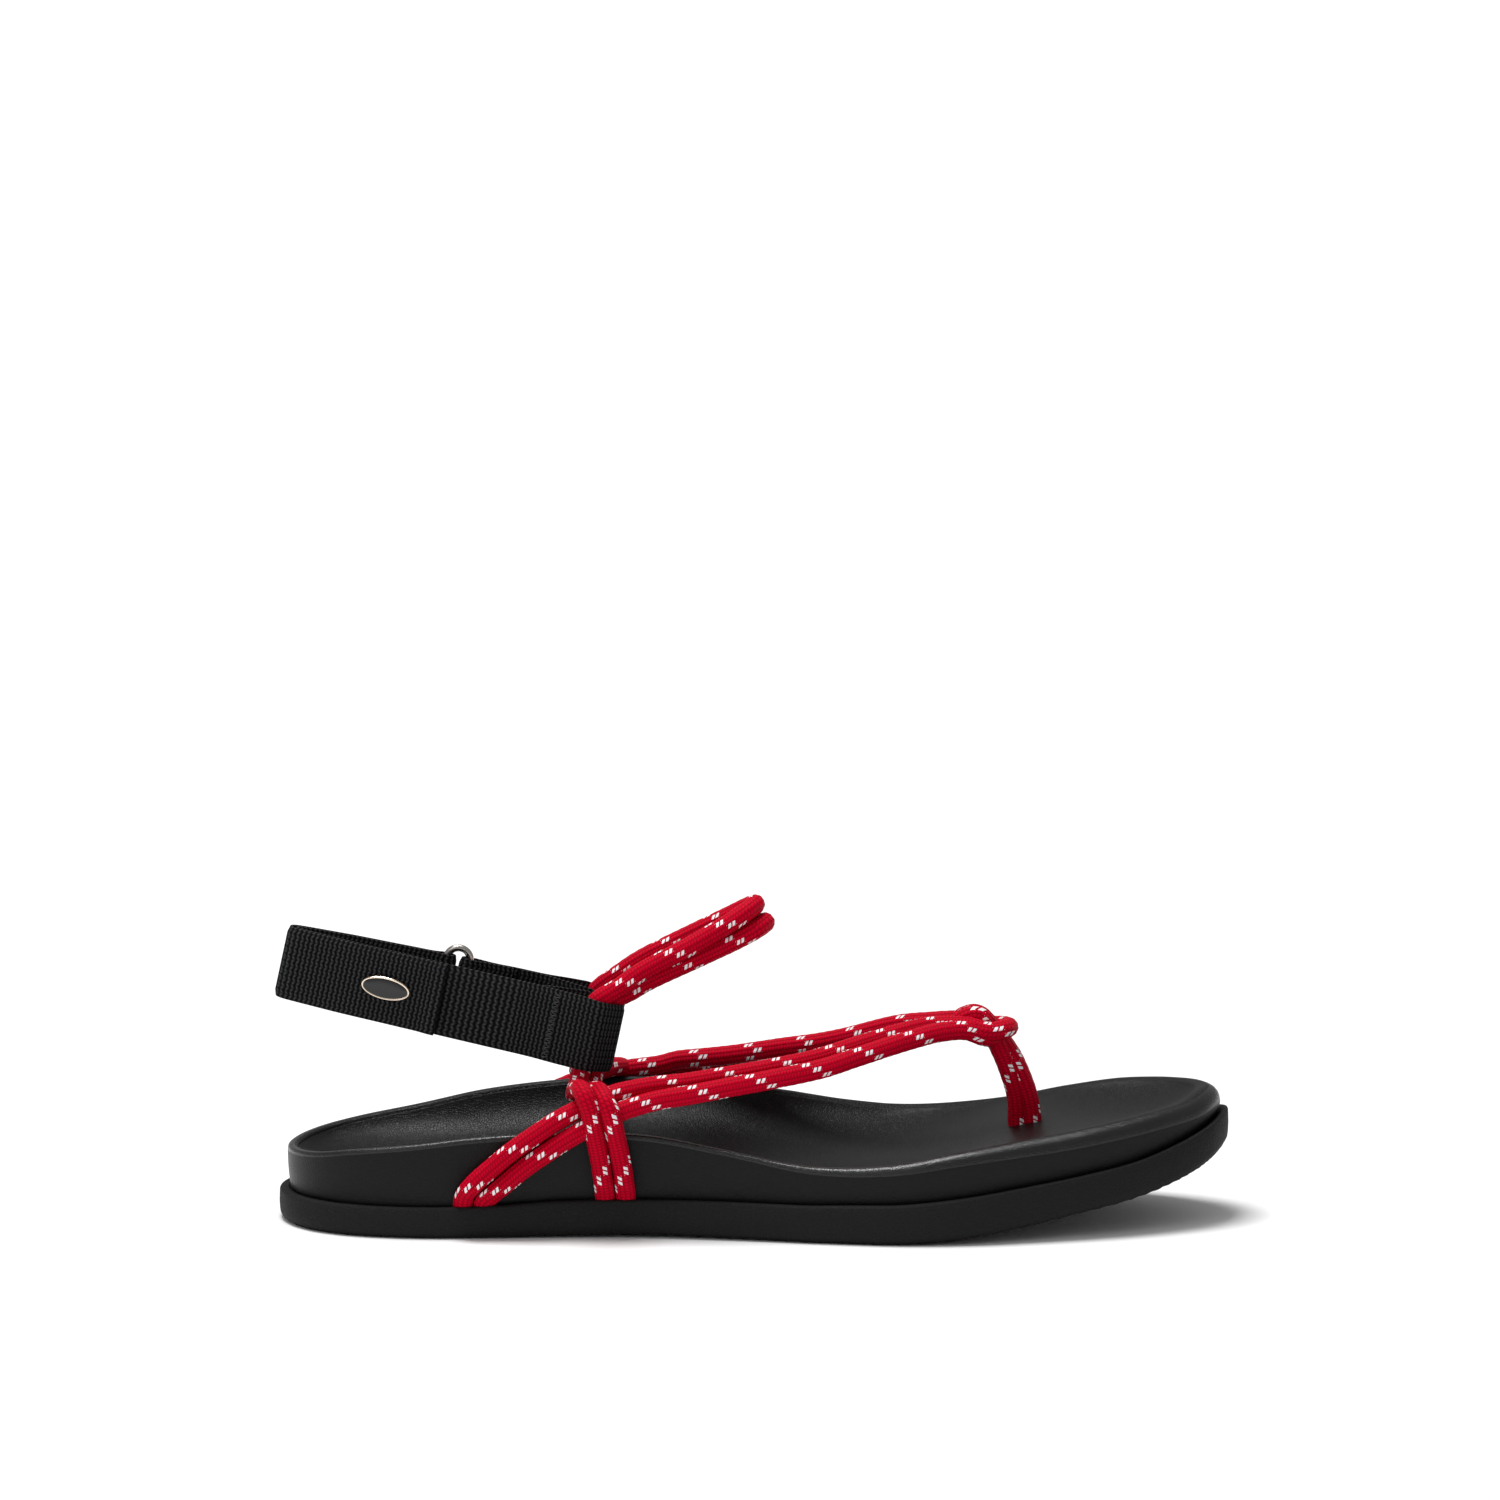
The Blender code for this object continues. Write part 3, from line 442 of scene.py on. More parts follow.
def grained_material(name, cells, crease, low, high, rough, bump_depth, gloss):
    """A black hide or rubber: mottled colour and roughness from the grain, and the grain as a bump."""
    made, nodes, links, shader = blank_material(name)
    grain = nodes.new("ShaderNodeGroup")
    grain.node_tree = surface_grain
    set_inputs(grain, Cells_per_metre=cells, Crease=crease)
    bumped(nodes, links, grain.outputs["Height"], shader, strength=0.6, distance=bump_depth)
    mottle = grain.outputs["Mottle"]
    links.new(coloured(nodes, links, mottle, low, high), shader.inputs["Base Color"])
    links.new(ranged(nodes, links, mottle, *rough), shader.inputs["Roughness"])
    set_inputs(shader, Specular_IOR_Level=gloss)
    return made


pebbled_rubber = grained_material(
    "pebbled_rubber",
    cells=1050.0,
    crease=0.70,
    low=(0.0058, 0.0058, 0.0060),
    high=(0.0110, 0.0110, 0.0113),
    rough=(0.56, 0.74),
    bump_depth=0.00022,
    gloss=0.16,
)
outsole = skinned([sole_ring(*ring) for ring in outsole_rings], close_over_axis)
finished("outsole_moulded", outsole, [pebbled_rubber], "outsole")


# Footbed
# A contoured core wrapped in one piece of smooth black leather: an upright wall, a narrow rounded rim and
# a dished top with a heel cup and an arch. It is glued into the outsole inside the welt.

WALL_LEAN = 0.0008
FOOTBED_WALL = 0.020
BED_THICK = 0.0085
SEAT_INSET = SOLE_LENGTH * 0.08
SEAT_DEPTH = 0.0004
SEAT_LIP = 0.0008
RIM_GAP = 0.0003
WALL_SWELL = 0.0002
WALL_SHARES = (0.1, 0.25, 0.45, 0.65, 0.85, 0.95)
SHOULDER_START = 0.000
SHOULDER_RUN = 0.080
BURNISHED_PAINTED_HIGHLIGHT_BANDS = 5

# Rim from the wall inwards: inset and drop at the heel, then inset and drop at the toe
RIM_PROFILE = (
    (0.00000, 0.00140, 0.00000, 0.00400),
    (0.00006, 0.00080, 0.00025, 0.00280),
    (0.00022, 0.00036, 0.00070, 0.00180),
    (0.00055, 0.00010, 0.00140, 0.00095),
    (0.00110, 0.00000, 0.00220, 0.00042),
    (0.00190, 0.00004, 0.00300, 0.00012),
    (0.00255, 0.00022, 0.00380, 0.00000),
    (0.00292, 0.00060, 0.00450, 0.00004),
    (0.00302, 0.00110, 0.00520, 0.00016),
    (0.00325, 0.00122, 0.00590, 0.00036),
    (0.00360, 0.00112, 0.00660, 0.00062),
)

# Dished top from the rim in to the axis: share of the way, and how much of the rim's height is left
BED_SINK = (
    (0.012, 0.93),
    (0.035, 0.82),
    (0.075, 0.68),
    (0.125, 0.56),
    (0.19, 0.43),
    (0.27, 0.31),
    (0.36, 0.21),
    (0.47, 0.13),
    (0.60, 0.07),
    (0.74, 0.03),
    (0.88, 0.01),
    (1.00, 0.00),
)


def half_width(x, side):
    return read_table(OUTLINE, along_of(x), 1 if side < 0 else 2) * BALL_WIDTH


def eased(share):
    """A share held between 0 and 1 that starts and ends gently."""
    share = min(max(share, 0.0), 1.0)
    return share * share * (3 - 2 * share)


def rim_z(x, across):
    """Height of the rim, mixed between the outer (-1) and the inner side (+1)."""
    outer = read_table(HEIGHTS, along_of(x), 3)
    inner = read_table(HEIGHTS, along_of(x), 4)
    return welt_z(x) + mix(outer, inner, eased((across + 1) / 2)) * FOOTBED_WALL


def bed_z(x):
    return welt_z(x) + read_table(HEIGHTS, along_of(x), 5) * BED_THICK


def side_of(point):
    return -1.0 if point.y < 0 else 1.0


def rim_at(point):
    reach = half_width(point.x, side_of(point))
    return rim_z(point.x, point.y / max(reach, 0.012))


def softness(x):
    """How far the rim has turned from a crisp edge at the heel into a round shoulder at the toe."""
    return min(max((x - SHOULDER_START) / SHOULDER_RUN, 0.0), 1.0)


def rim_ring(row):
    """A ring over the rim: its inset from the wall and its drop below the rim, at the heel and at the toe."""
    spots = []
    for point in sole_outline:
        soft = softness(point.x)
        spot = drawn_in(point, WELT_WIDTH - WALL_LEAN + mix(row[0], row[2], soft))
        spot.z = rim_at(point) - mix(row[1], row[3], soft)
        spots.append(spot)
    return spots


def bed_ring(share, sink):
    """A ring of the dished top, a share of the way from the rim in to the axis, sinking towards the bed."""
    inner = RIM_PROFILE[-1]
    spots = []
    for point in sole_outline:
        soft = softness(point.x)
        edge = drawn_in(point, WELT_WIDTH - WALL_LEAN + mix(inner[0], inner[2], soft))
        spot = edge.lerp(drawn_to(point, AXIS_SHARE), share)
        spot.z = mix(bed_z(spot.x), rim_at(point) - mix(inner[1], inner[3], soft), sink)
        spots.append(spot)
    return spots


def wall_ring(inset, share):
    """A ring up the wall, a share of its height from the seat to the foot of the rim."""
    first = RIM_PROFILE[0]
    spots = [drawn_in(point, inset) for point in sole_outline]
    for spot, point in zip(spots, sole_outline):
        top = rim_at(point) - mix(first[1], first[3], softness(point.x)) - RIM_GAP
        spot.z = mix(welt_z(spot.x) - SEAT_DEPTH, top, share)
    return spots


def wall_part():
    """The rings of the seat and up the wall, which leans in and swells a little."""
    rings = [wall_ring(SEAT_INSET, 0.0), wall_ring(WELT_WIDTH + SEAT_LIP, 0.0), wall_ring(WELT_WIDTH, 0.02)]
    for share in WALL_SHARES:
        lean = mix(WELT_WIDTH, WELT_WIDTH - WALL_LEAN, share)
        rings.append(wall_ring(lean - WALL_SWELL * math.sin(math.pi * share), share))
    return rings


wrap_leather = grained_material(
    "wrap_leather",
    cells=1500.0,
    crease=0.55,
    low=(0.0030, 0.0030, 0.0031),
    high=(0.0052, 0.0052, 0.0054),
    rough=(0.33, 0.44),
    bump_depth=0.00013,
    gloss=0.17,
)
# The rim bands take a copy of the leather that is glossier, as burnished leather, and a little lighter in
# colour, a painted highlight along the rim.
burnished_rim_painted_highlight = grained_material(
    "burnished_rim_painted_highlight",
    cells=1500.0,
    crease=0.55,
    low=(0.0040, 0.0040, 0.0042),
    high=(0.0070, 0.0070, 0.0073),
    rough=(0.22, 0.32),
    bump_depth=0.00008,
    gloss=0.50,
)
wall = wall_part()
rim = [rim_ring(row) for row in RIM_PROFILE]
bed = [bed_ring(share, sink) for share, sink in BED_SINK]
# The first bands of the rim take the second finish: glossier, and with a painted highlight.
burnished_painted_highlight_bands = range(len(wall) + 1, len(wall) + 1 + BURNISHED_PAINTED_HIGHLIGHT_BANDS)
footbed = skinned(wall + rim + bed, close_over_axis, burnished_painted_highlight_bands)
finished("footbed_wrapped", footbed, [wrap_leather, burnished_rim_painted_highlight], "footbed", 50)


# Rope upper
# Eight runs of red braided rope with a white reflective tracer: two vamp ropes that turn round the toe
# post in a knot, two instep ropes that end in slack loops, and the four runs of the post. Their ends go
# down between the welt and the footbed.

ROPE_DIAMETER = 0.0053
ROPE_SPACING = 0.0056
INSTEP_RISE = 0.055
STRAP_WIDTH = 0.0195
STRAP_THICK = 0.0014
STRAP_REACH = 0.0919
STRAP_SLOPE = math.radians(12.3)
STRAP_BACK_X = -0.1265
STRAP_BACK_Z = 0.0702
STRAP_OPEN = 0.0132
STRAP_FLARE = 0.08
LOOP_SKEW = math.radians(50)
FIT = 0.0003
ROPE_RADIUS = ROPE_DIAMETER / 2
BRAID_COLUMNS = 12
TRACER_COLUMNS = 8
TRACER_PICKS = 6
PICK_LENGTH = 0.0026
TUCK_TOP = 0.024
TUCK_HEIGHT = 0.0052
TUCK_FLAT = 0.40
RIDGE_RISE = 0.016
RIDGE_FALL = 0.012
PICK_STEP = 0.012

# Lower run of the outer vamp pair, from its slot in the sole to the knot
# along: share of the length; across: share of the reach to the rope beside the wall, minus on the outer side
# level: 0 at the welt, 1 at the rim, and above 1 a share of the instep's rise; lean: how far the pair lies over
OUTER_VAMP = (
    (0.208, -0.960, -0.16, 90),
    (0.209, -0.985, 0.10, 90),
    (0.217, -1.000, 0.24, 90),
    (0.235, -1.000, 0.45, 90),
    (0.254, -1.012, 0.66, 90),
    (0.278, -1.012, 0.88, 86),
    (0.300, -1.000, 1.025, 78),
    (0.320, -0.985, 1.075, 68),
    (0.341, -0.965, 1.125, 58),
    (0.362, -0.935, 1.165, 48),
    (0.395, -0.885, 1.212, 34),
    (0.434, -0.835, 1.264, 26),
    (0.473, -0.770, 1.324, 22),
    (0.513, -0.690, 1.384, 20),
    (0.570, -0.510, 1.445, 18),
    (0.600, -0.410, 1.478, 16),
    (0.657, -0.225, 1.520, 12),
    (0.690, -0.125, 1.524, 8),
)
INNER_VAMP = (
    (0.208, 0.960, -0.16, 90),
    (0.210, 0.985, 0.08, 90),
    (0.219, 1.000, 0.20, 90),
    (0.244, 1.000, 0.45, 90),
    (0.283, 1.000, 0.67, 90),
    (0.325, 1.000, 0.84, 90),
    (0.368, 1.000, 0.93, 88),
    (0.401, 1.010, 0.995, 78),
    (0.4225, 0.995, 1.040, 62),
    (0.445, 0.925, 1.080, 44),
    (0.482, 0.830, 1.140, 30),
    (0.536, 0.680, 1.240, 24),
    (0.572, 0.550, 1.316, 20),
    (0.602, 0.440, 1.385, 16),
    (0.659, 0.245, 1.502, 12),
    (0.700, 0.150, 1.522, 8),
)

# The two instep pairs, from their slots over the vamp pairs to the lower edge of the strap
# turn: direction in which the pair lies side by side, 0 level and 90 upright
# aside: how far it is turned out of that direction, its rear strand outwards
OUTER_INSTEP = (
    (0.3560, -0.960, -0.16, 0, 0),
    (0.3555, -0.985, 0.12, 0, 0),
    (0.3510, -1.000, 0.62, 2, 0),
    (0.3450, -1.045, 1.020, 6, 0),
    (0.3400, -1.105, 1.140, 12, 0),
    (0.3355, -1.085, 1.190, 14, 4),
    (0.3315, -1.000, 1.212, 14, 10),
    (0.3275, -0.830, 1.204, 10, 22),
    (0.3235, -0.610, 1.168, 10, 34),
    (0.3205, -0.430, 1.128, 12, 46),
)
INNER_INSTEP = (
    (0.3560, 0.960, -0.16, 0, 0),
    (0.3555, 0.985, 0.12, 0, 0),
    (0.3550, 1.020, 0.42, 0, 0),
    (0.3540, 1.110, 0.68, 0, 0),
    (0.3520, 1.150, 0.89, 2, 0),
    (0.3490, 1.085, 1.020, 6, 4),
    (0.3440, 0.900, 1.055, 8, 14),
    (0.3350, 0.730, 1.075, 10, 26),
    (0.3260, 0.560, 1.084, 10, 38),
    (0.3215, 0.430, 1.086, 12, 46),
)

# The slack loops of the instep pairs, from the upper edge of the strap to their tops
OUTER_SLACK = (
    (0.3660, -0.185, 1.612, 40, 54),
    (0.3850, -0.175, 1.674, 61, 50),
    (0.4407, -0.150, 1.836, 61, 38),
    (0.4800, -0.110, 1.957, 61, 20),
    (0.4985, -0.078, 2.020, 61, 6),
)
INNER_SLACK = (
    (0.3660, 0.185, 1.604, 40, 54),
    (0.3850, 0.178, 1.664, 61, 50),
    (0.4407, 0.155, 1.822, 61, 38),
    (0.4800, 0.115, 1.940, 61, 20),
    (0.4985, 0.082, 2.003, 61, 6),
)
LOOP_TOP = ((0.5065, 0.000, 2.041, 61, 0),)

# Turns of the two vamp strands round the toe post: along, across, level
UPPER_TURN = (
    (0.725, -0.075, 1.512),
    (0.746, -0.098, 1.475),
    (0.7615, -0.058, 1.470),
    (0.7680, 0.045, 1.466),
    (0.7615, 0.160, 1.462),
    (0.746, 0.200, 1.470),
    (0.725, 0.140, 1.514),
)
LOWER_TURN = (
    (0.722, -0.130, 1.500),
    (0.740, -0.085, 1.455),
    (0.7520, 0.020, 1.428),
    (0.7530, 0.120, 1.425),
    (0.740, 0.205, 1.455),
    (0.722, 0.210, 1.502),
)

# Strands of the toe post, from inside the footbed up to the knot: along, across, level
POST_REAR_OUTER = (
    (0.7785, 0.105, -0.10),
    (0.7785, 0.105, 0.75),
    (0.7770, 0.095, 1.100),
    (0.7660, 0.070, 1.280),
    (0.7555, 0.045, 1.400),
    (0.7470, 0.012, 1.490),
    (0.7340, -0.015, 1.558),
    (0.7185, -0.015, 1.545),
    (0.7100, 0.000, 1.495),
)
POST_REAR_INNER = (
    (0.7785, 0.240, -0.10),
    (0.7785, 0.240, 0.75),
    (0.7770, 0.230, 1.100),
    (0.7660, 0.200, 1.280),
    (0.7555, 0.165, 1.400),
    (0.7470, 0.135, 1.485),
    (0.7340, 0.115, 1.545),
    (0.7185, 0.105, 1.535),
    (0.7100, 0.090, 1.490),
)

# The front strands side by side: along, across of the outer and of the inner one, level
POST_FRONT = (
    (0.7935, 0.110, 0.245, -0.10),
    (0.7935, 0.110, 0.245, 0.75),
    (0.7900, 0.105, 0.235, 1.080),
    (0.7745, 0.095, 0.205, 1.280),
    (0.7615, 0.080, 0.170, 1.390),
    (0.7560, 0.060, 0.150, 1.450),
)

# Half the width of the heel strap's loop, measured to the gap between its two layers
# forward: share of the strap's reach from its back fold; half: share of the half width at the front
STRAP_HALF = (
    (0.00, 0.182),
    (0.05, 0.227),
    (0.10, 0.311),
    (0.18, 0.424),
    (0.30, 0.515),
    (0.42, 0.614),
    (0.54, 0.697),
    (0.68, 0.788),
    (0.80, 0.879),
    (0.92, 0.970),
    (1.00, 1.000),
)

# Heights of a rope's points inside the strap's front loop, as shares of the strap's width from its middle
PASSAGE_HEIGHTS = (-0.66, -0.4, 0.0, 0.3, 0.42)


def strap_half(forward):
    return read_table(STRAP_HALF, forward / STRAP_REACH, 1) * STRAP_OPEN


def flared(spot):
    """A spot of the strap's frame with the loop opened out a little towards its lower edge."""
    forward = min(max(spot.x / STRAP_REACH, 0.0), 1.0)
    opened = -2 * STRAP_FLARE * forward * spot.z / STRAP_WIDTH * strap_half(spot.x)
    side = 1 if spot.y > 0 else -1
    return spot + Vector((0.0, side * opened, 0.0))


def strap_place():
    """The turn and shift from the strap's own frame to the sandal."""
    return Matrix.Translation((STRAP_BACK_X, 0.0, STRAP_BACK_Z)) @ Matrix.Rotation(STRAP_SLOPE, 4, "Y")


def loop_fold():
    """Radius of the webbing's middle line where it turns round a rope."""
    return ROPE_RADIUS + FIT + STRAP_THICK / 2


def loop_seats(side):
    """Where the strands of a pair stand in a side's front loop: the rear one outside, the front one inside."""
    step = Vector((math.cos(LOOP_SKEW), -side * math.sin(LOOP_SKEW), 0.0)) * ROPE_SPACING
    forward = STRAP_REACH - STRAP_THICK / 2 - loop_fold() - step.x
    reach = strap_half(forward) - loop_fold() + (STRAP_THICK + FIT) / 2
    rear = Vector((forward, side * reach, 0.0))
    return rear, rear + step


def strap_passage(side):
    """Where the two strands of an instep pair run up inside the strap's front loop, the rear one first."""
    place = strap_place()
    strands = []
    for seat in loop_seats(side):
        lifts = [Vector((0.0, 0.0, height * STRAP_WIDTH)) for height in PASSAGE_HEIGHTS]
        strands.append([place @ flared(seat + lift) for lift in lifts])
    return strands


def rope_point(along, across, level):
    """A place on or over the sole: beside the wall at across 1, and over the rim above level 1."""
    x = station_x(along)
    reach = half_width(x, across) - WELT_WIDTH + WALL_LEAN + ROPE_RADIUS + FIT
    rim = rim_z(x, across)
    if level <= 1:
        z = mix(welt_z(x), rim, level)
    else:
        z = rim + (level - 1) * INSTEP_RISE
    return Vector((x, across * reach, z))


def vamp_strands(table, side):
    """Centre lines of the two strands of a vamp pair, the upper one first."""
    middle = [rope_point(*row[:3]) for row in table]
    upper = []
    lower = []
    for index, row in enumerate(table):
        before = middle[max(index - 1, 0)]
        after = middle[min(index + 1, len(middle) - 1)]
        run = (after - before).normalized()
        lean = math.radians(row[3])
        away = Vector((0.0, side * math.sin(lean), math.cos(lean)))
        spread = (run.cross(away) * side).normalized() * (ROPE_SPACING / 2)
        if index == 0:
            spread = Vector((-ROPE_SPACING / 2, 0.0, 0.0))
        upper.append(middle[index] + spread)
        lower.append(middle[index] - spread)
    return upper, lower


def instep_strands(table):
    """Centre lines of the two strands of an instep pair, the rear one first."""
    rear = []
    front = []
    for row in table:
        turn = math.radians(row[3])
        aside = math.radians(row[4])
        side = -1 if row[1] < 0 else 1
        level = Vector((-math.cos(turn), 0.0, math.sin(turn)))
        spread = (level * math.cos(aside) + Vector((0.0, side * math.sin(aside), 0.0))) * (ROPE_SPACING / 2)
        middle = rope_point(*row[:3])
        rear.append(middle + spread)
        front.append(middle - spread)
    return rear, front


def rope_routes():
    """Every strand's centre line, as points to draw a smooth curve through."""
    outer_upper, outer_lower = vamp_strands(OUTER_VAMP, -1)
    inner_upper, inner_lower = vamp_strands(INNER_VAMP, 1)
    upper_turn = [rope_point(*row) for row in UPPER_TURN]
    lower_turn = [rope_point(*row) for row in LOWER_TURN]
    routes = {
        "vamp_upper": outer_upper + upper_turn + inner_upper[::-1],
        "vamp_lower": outer_lower + lower_turn + inner_lower[::-1],
    }
    outer = instep_strands(OUTER_INSTEP), strap_passage(-1)
    inner = instep_strands(INNER_INSTEP), strap_passage(1)
    slack = instep_strands(OUTER_SLACK + LOOP_TOP + INNER_SLACK[::-1])
    for strand, strand_name in enumerate(("instep_rear", "instep_front")):
        rise = outer[0][strand] + outer[1][strand]
        fall = inner[0][strand] + inner[1][strand]
        routes[strand_name] = rise + slack[strand] + fall[::-1]
    front = [[(row[0], row[column], row[3]) for row in POST_FRONT] for column in (1, 2)]
    for number, table in enumerate([POST_REAR_OUTER, POST_REAR_INNER] + front):
        routes[f"post_{number}"] = [rope_point(*row) for row in table]
    return routes


def tucked(spot):
    """A place on a rope, pressed flat against the wall where the rope goes down behind the welt."""
    if spot.z > TUCK_TOP:
        return spot
    side = side_of(spot)
    wall = half_width(spot.x, side) - WELT_WIDTH
    out = abs(spot.y) - wall
    share = (spot.z - welt_z(spot.x)) / TUCK_HEIGHT
    if out <= 0 or share >= 1:
        return spot
    return Vector((spot.x, side * (wall + out * mix(TUCK_FLAT, 1.0, eased(share))), spot.z))


def directions(path):
    """The direction of a path at each of its points."""
    return [(after - before).normalized() for before, after in zip(path[:1] + path[:-1], path[1:] + path[-1:])]


def lay_out(form, name, sides, place):
    """Lays a UV map by each corner's way round and ring. Over the seam the way round runs on to a full turn."""
    station = form.verts.layers.int["station"]
    row = form.verts.layers.int["row"]
    laid = form.loops.layers.uv.new(name)
    for face in form.faces:
        seam = any(vert[station] == sides - 1 for vert in face.verts)
        for corner in face.loops:
            around = corner.vert[station]
            if seam and around == 0:
                around = sides
            corner[laid].uv = place(around, corner.vert[row])


def braided(path):
    """A rope along a path: one ridge to each column of the braid, stepped along at every pick."""
    sides = BRAID_COLUMNS * 3
    lengths = lengths_along(path)
    aside = Vector((0.0, 1.0, -0.4))
    rings = []
    for point, run, length in zip(path, directions(path), lengths):
        aside = (aside - run * aside.dot(run)).normalized()
        up = run.cross(aside)
        spots = []
        for side in range(sides):
            angle = 2 * math.pi * side / sides
            ridge = RIDGE_RISE if side % 3 == 1 else -RIDGE_FALL
            pick = PICK_STEP * math.cos(2 * math.pi * (length / PICK_LENGTH + side // 3 * 0.5))
            radius = ROPE_RADIUS * (1.0 + ridge + pick)
            spots.append(tucked(point + (aside * math.cos(angle) + up * math.sin(angle)) * radius))
        rings.append(spots)
    form = skinned(rings, cap)
    lay_out(form, "rope_run", sides, lambda around, row: (around / sides, lengths[row]))
    return form


def worked_out(tree, kind, first, second=None):
    """A sum of one or two values in a material."""
    node = tree.nodes.new("ShaderNodeMath")
    node.operation = kind
    for socket, value in zip(node.inputs, (first, second)):
        if isinstance(value, (int, float)):
            socket.default_value = value
        elif value is not None:
            tree.links.new(value, socket)
    return node.outputs["Value"]


def laid_map(nodes, links, name):
    """The two directions of a UV map."""
    laid = nodes.new("ShaderNodeUVMap")
    laid.uv_map = name
    split = nodes.new("ShaderNodeSeparateXYZ")
    links.new(laid.outputs["UV"], split.inputs["Vector"])
    return split.outputs["X"], split.outputs["Y"]


def rope_material():
    """Red yarn in fine picks, darker in the grooves of the braid as painted shade. The tracer's marks, of two
    dashes, step one column round at each pick.
    """
    made, nodes, links, shader = blank_material("braided_rope")
    sum_of = functools.partial(worked_out, made.node_tree)
    around, along = laid_map(nodes, links, "rope_run")
    in_column = sum_of("FRACT", sum_of("MULTIPLY", around, BRAID_COLUMNS))
    picks = sum_of("DIVIDE", along, PICK_LENGTH)
    in_pick = sum_of("FRACT", picks)
    wide = sum_of("MULTIPLY", around, TRACER_COLUMNS)
    ahead = sum_of("SUBTRACT", sum_of("FLOOR", wide), sum_of("FLOOR", picks))
    turn = sum_of("FLOORED_MODULO", ahead, TRACER_PICKS)
    marked = sum_of("LESS_THAN", turn, 0.5)
    off_middle = sum_of("SUBTRACT", sum_of("FRACT", wide), 0.5)
    across = sum_of("LESS_THAN", sum_of("ABSOLUTE", off_middle), 0.29)
    slant = sum_of("MULTIPLY", off_middle, 0.9)
    dashes = sum_of("FRACT", sum_of("ADD", sum_of("MULTIPLY", in_pick, 2.0), slant))
    dash = sum_of("LESS_THAN", sum_of("ABSOLUTE", sum_of("SUBTRACT", dashes, 0.5)), 0.33)
    tracer = sum_of("MULTIPLY", sum_of("MULTIPLY", marked, across), dash)

    shift = sum_of("MULTIPLY", in_column, 0.5)
    yarns = sum_of("FRACT", sum_of("ADD", sum_of("MULTIPLY", in_pick, 3.0), shift))
    ridge = sum_of("SINE", sum_of("MULTIPLY", in_column, math.pi))
    beads = sum_of("SINE", sum_of("MULTIPLY", yarns, math.pi))
    height = sum_of("ADD", sum_of("MULTIPLY", ridge, 0.6), sum_of("MULTIPLY", beads, 0.4))
    # Painted shade: the red darkens in the grooves between the braid's columns and between its yarns, and is
    # lightest on their crests.
    painted_bead_light = sum_of("ADD", 0.35, sum_of("MULTIPLY", beads, 0.65))
    light = sum_of("MULTIPLY", sum_of("POWER", ridge, 0.35), painted_bead_light)
    red = coloured(nodes, links, light, (0.16, 0.0004, 0.006), (0.58, 0.0005, 0.019))
    colour = nodes.new("ShaderNodeMix")
    colour.data_type = "RGBA"
    set_inputs(colour, B=(0.86, 0.86, 0.88, 1.0))
    links.new(tracer, colour.inputs["Factor"])
    links.new(red, colour.inputs["A"])
    links.new(colour.outputs["Result"], shader.inputs["Base Color"])
    bumped(nodes, links, height, shader, strength=0.7, distance=0.00022)
    links.new(ranged(nodes, links, tracer, 0.62, 0.40), shader.inputs["Roughness"])
    set_inputs(shader, Specular_IOR_Level=0.15, Specular_Tint=(1.0, 0.12, 0.2, 1.0))
    return made


braided_rope = rope_material()
for run_name, run_points in rope_routes().items():
    rope = braided(smooth_path(run_points, PICK_LENGTH / 4))
    finished(f"rope_{run_name}", rope, [braided_rope], "rope_upper", 70)


# Heel strap
# Two layers of 20 mm black ribbed webbing. One strip is sewn into a loop round the outer instep ropes,
# runs round the heel and through the ring, and closes back over itself with hook and loop.

STRAP_DIP = 0.0014
DIP_START = 0.880
CLOSURE_END = 0.466
STITCH_PLACE = 0.757
BACK_TURN = 0.12
HEEL_TURN = 110
RING_PLACE = 0.492
RING_WIRE = 0.002
RING_WIDTH = 0.0086
RIB_PITCH = 0.00132
COARSE_PITCH = 0.00168
PICKS_ACROSS = 10
COARSE_STRETCH = (0.058, 0.090)
RIB_DEPTH = 0.00018
SELVEDGE_START = 0.44
SELVEDGE_THIN = 0.75
SECTION_STEPS = 12
END_CURL = 0.0007


def arc(centre, radius, start, end, count):
    """Points on a turn in the strap's plane, angles in degrees from forward, growing towards +Y."""
    made = []
    for number in range(count + 1):
        angle = math.radians(mix(start, end, number / count))
        made.append(centre + Vector((math.cos(angle), math.sin(angle), 0.0)) * radius)
    return made


def leg(start, end, side, shift, count):
    """Points of one leg of the loop between two shares of the reach, shifted out from its middle layer."""
    made = []
    for number in range(count + 1):
        forward = mix(start, end, number / count) * STRAP_REACH
        made.append(Vector((forward, side * (strap_half(forward) + shift), 0.0)))
    return made


def rope_loop(side):
    """The front loop of one side, round the two strands of an instep pair: its inner leg first."""
    half_layer = (STRAP_THICK + FIT) / 2
    fold = loop_fold()
    rear, front = loop_seats(side)
    stitch = STITCH_PLACE * STRAP_REACH
    out = Vector((0.0, side, 0.0))
    shut = Vector((stitch, 0.0, 0.0)) + out * (strap_half(stitch) - 2 * half_layer)
    shut_in = shut - out * half_layer
    shut_out = shut + out * half_layer
    face = 90 - math.degrees(LOOP_SKEW)
    inner = [shut_in, shut_in.lerp(front - out * fold, 0.5) - out * fold * 0.2]
    turn = arc(front, fold, -100 * side, face * side, 7) + arc(rear, fold, face * side, 84 * side, 3)
    outer = [shut_out.lerp(rear + out * fold, 0.5) + out * fold * 0.1, shut_out]
    return inner + turn + outer


def ring_bars():
    """Middles of the ring's rear and front upright bars."""
    forward = RING_PLACE * STRAP_REACH
    middle = Vector((forward, strap_half(forward), 0.0))
    half = Vector(((RING_WIDTH - RING_WIRE) / 2, 0.0, 0.0))
    return middle - half, middle + half


def bar_fold():
    """Radius of the webbing's middle line where it turns round a bar of the ring."""
    return RING_WIRE / 2 + FIT * 1.5 + STRAP_THICK / 2


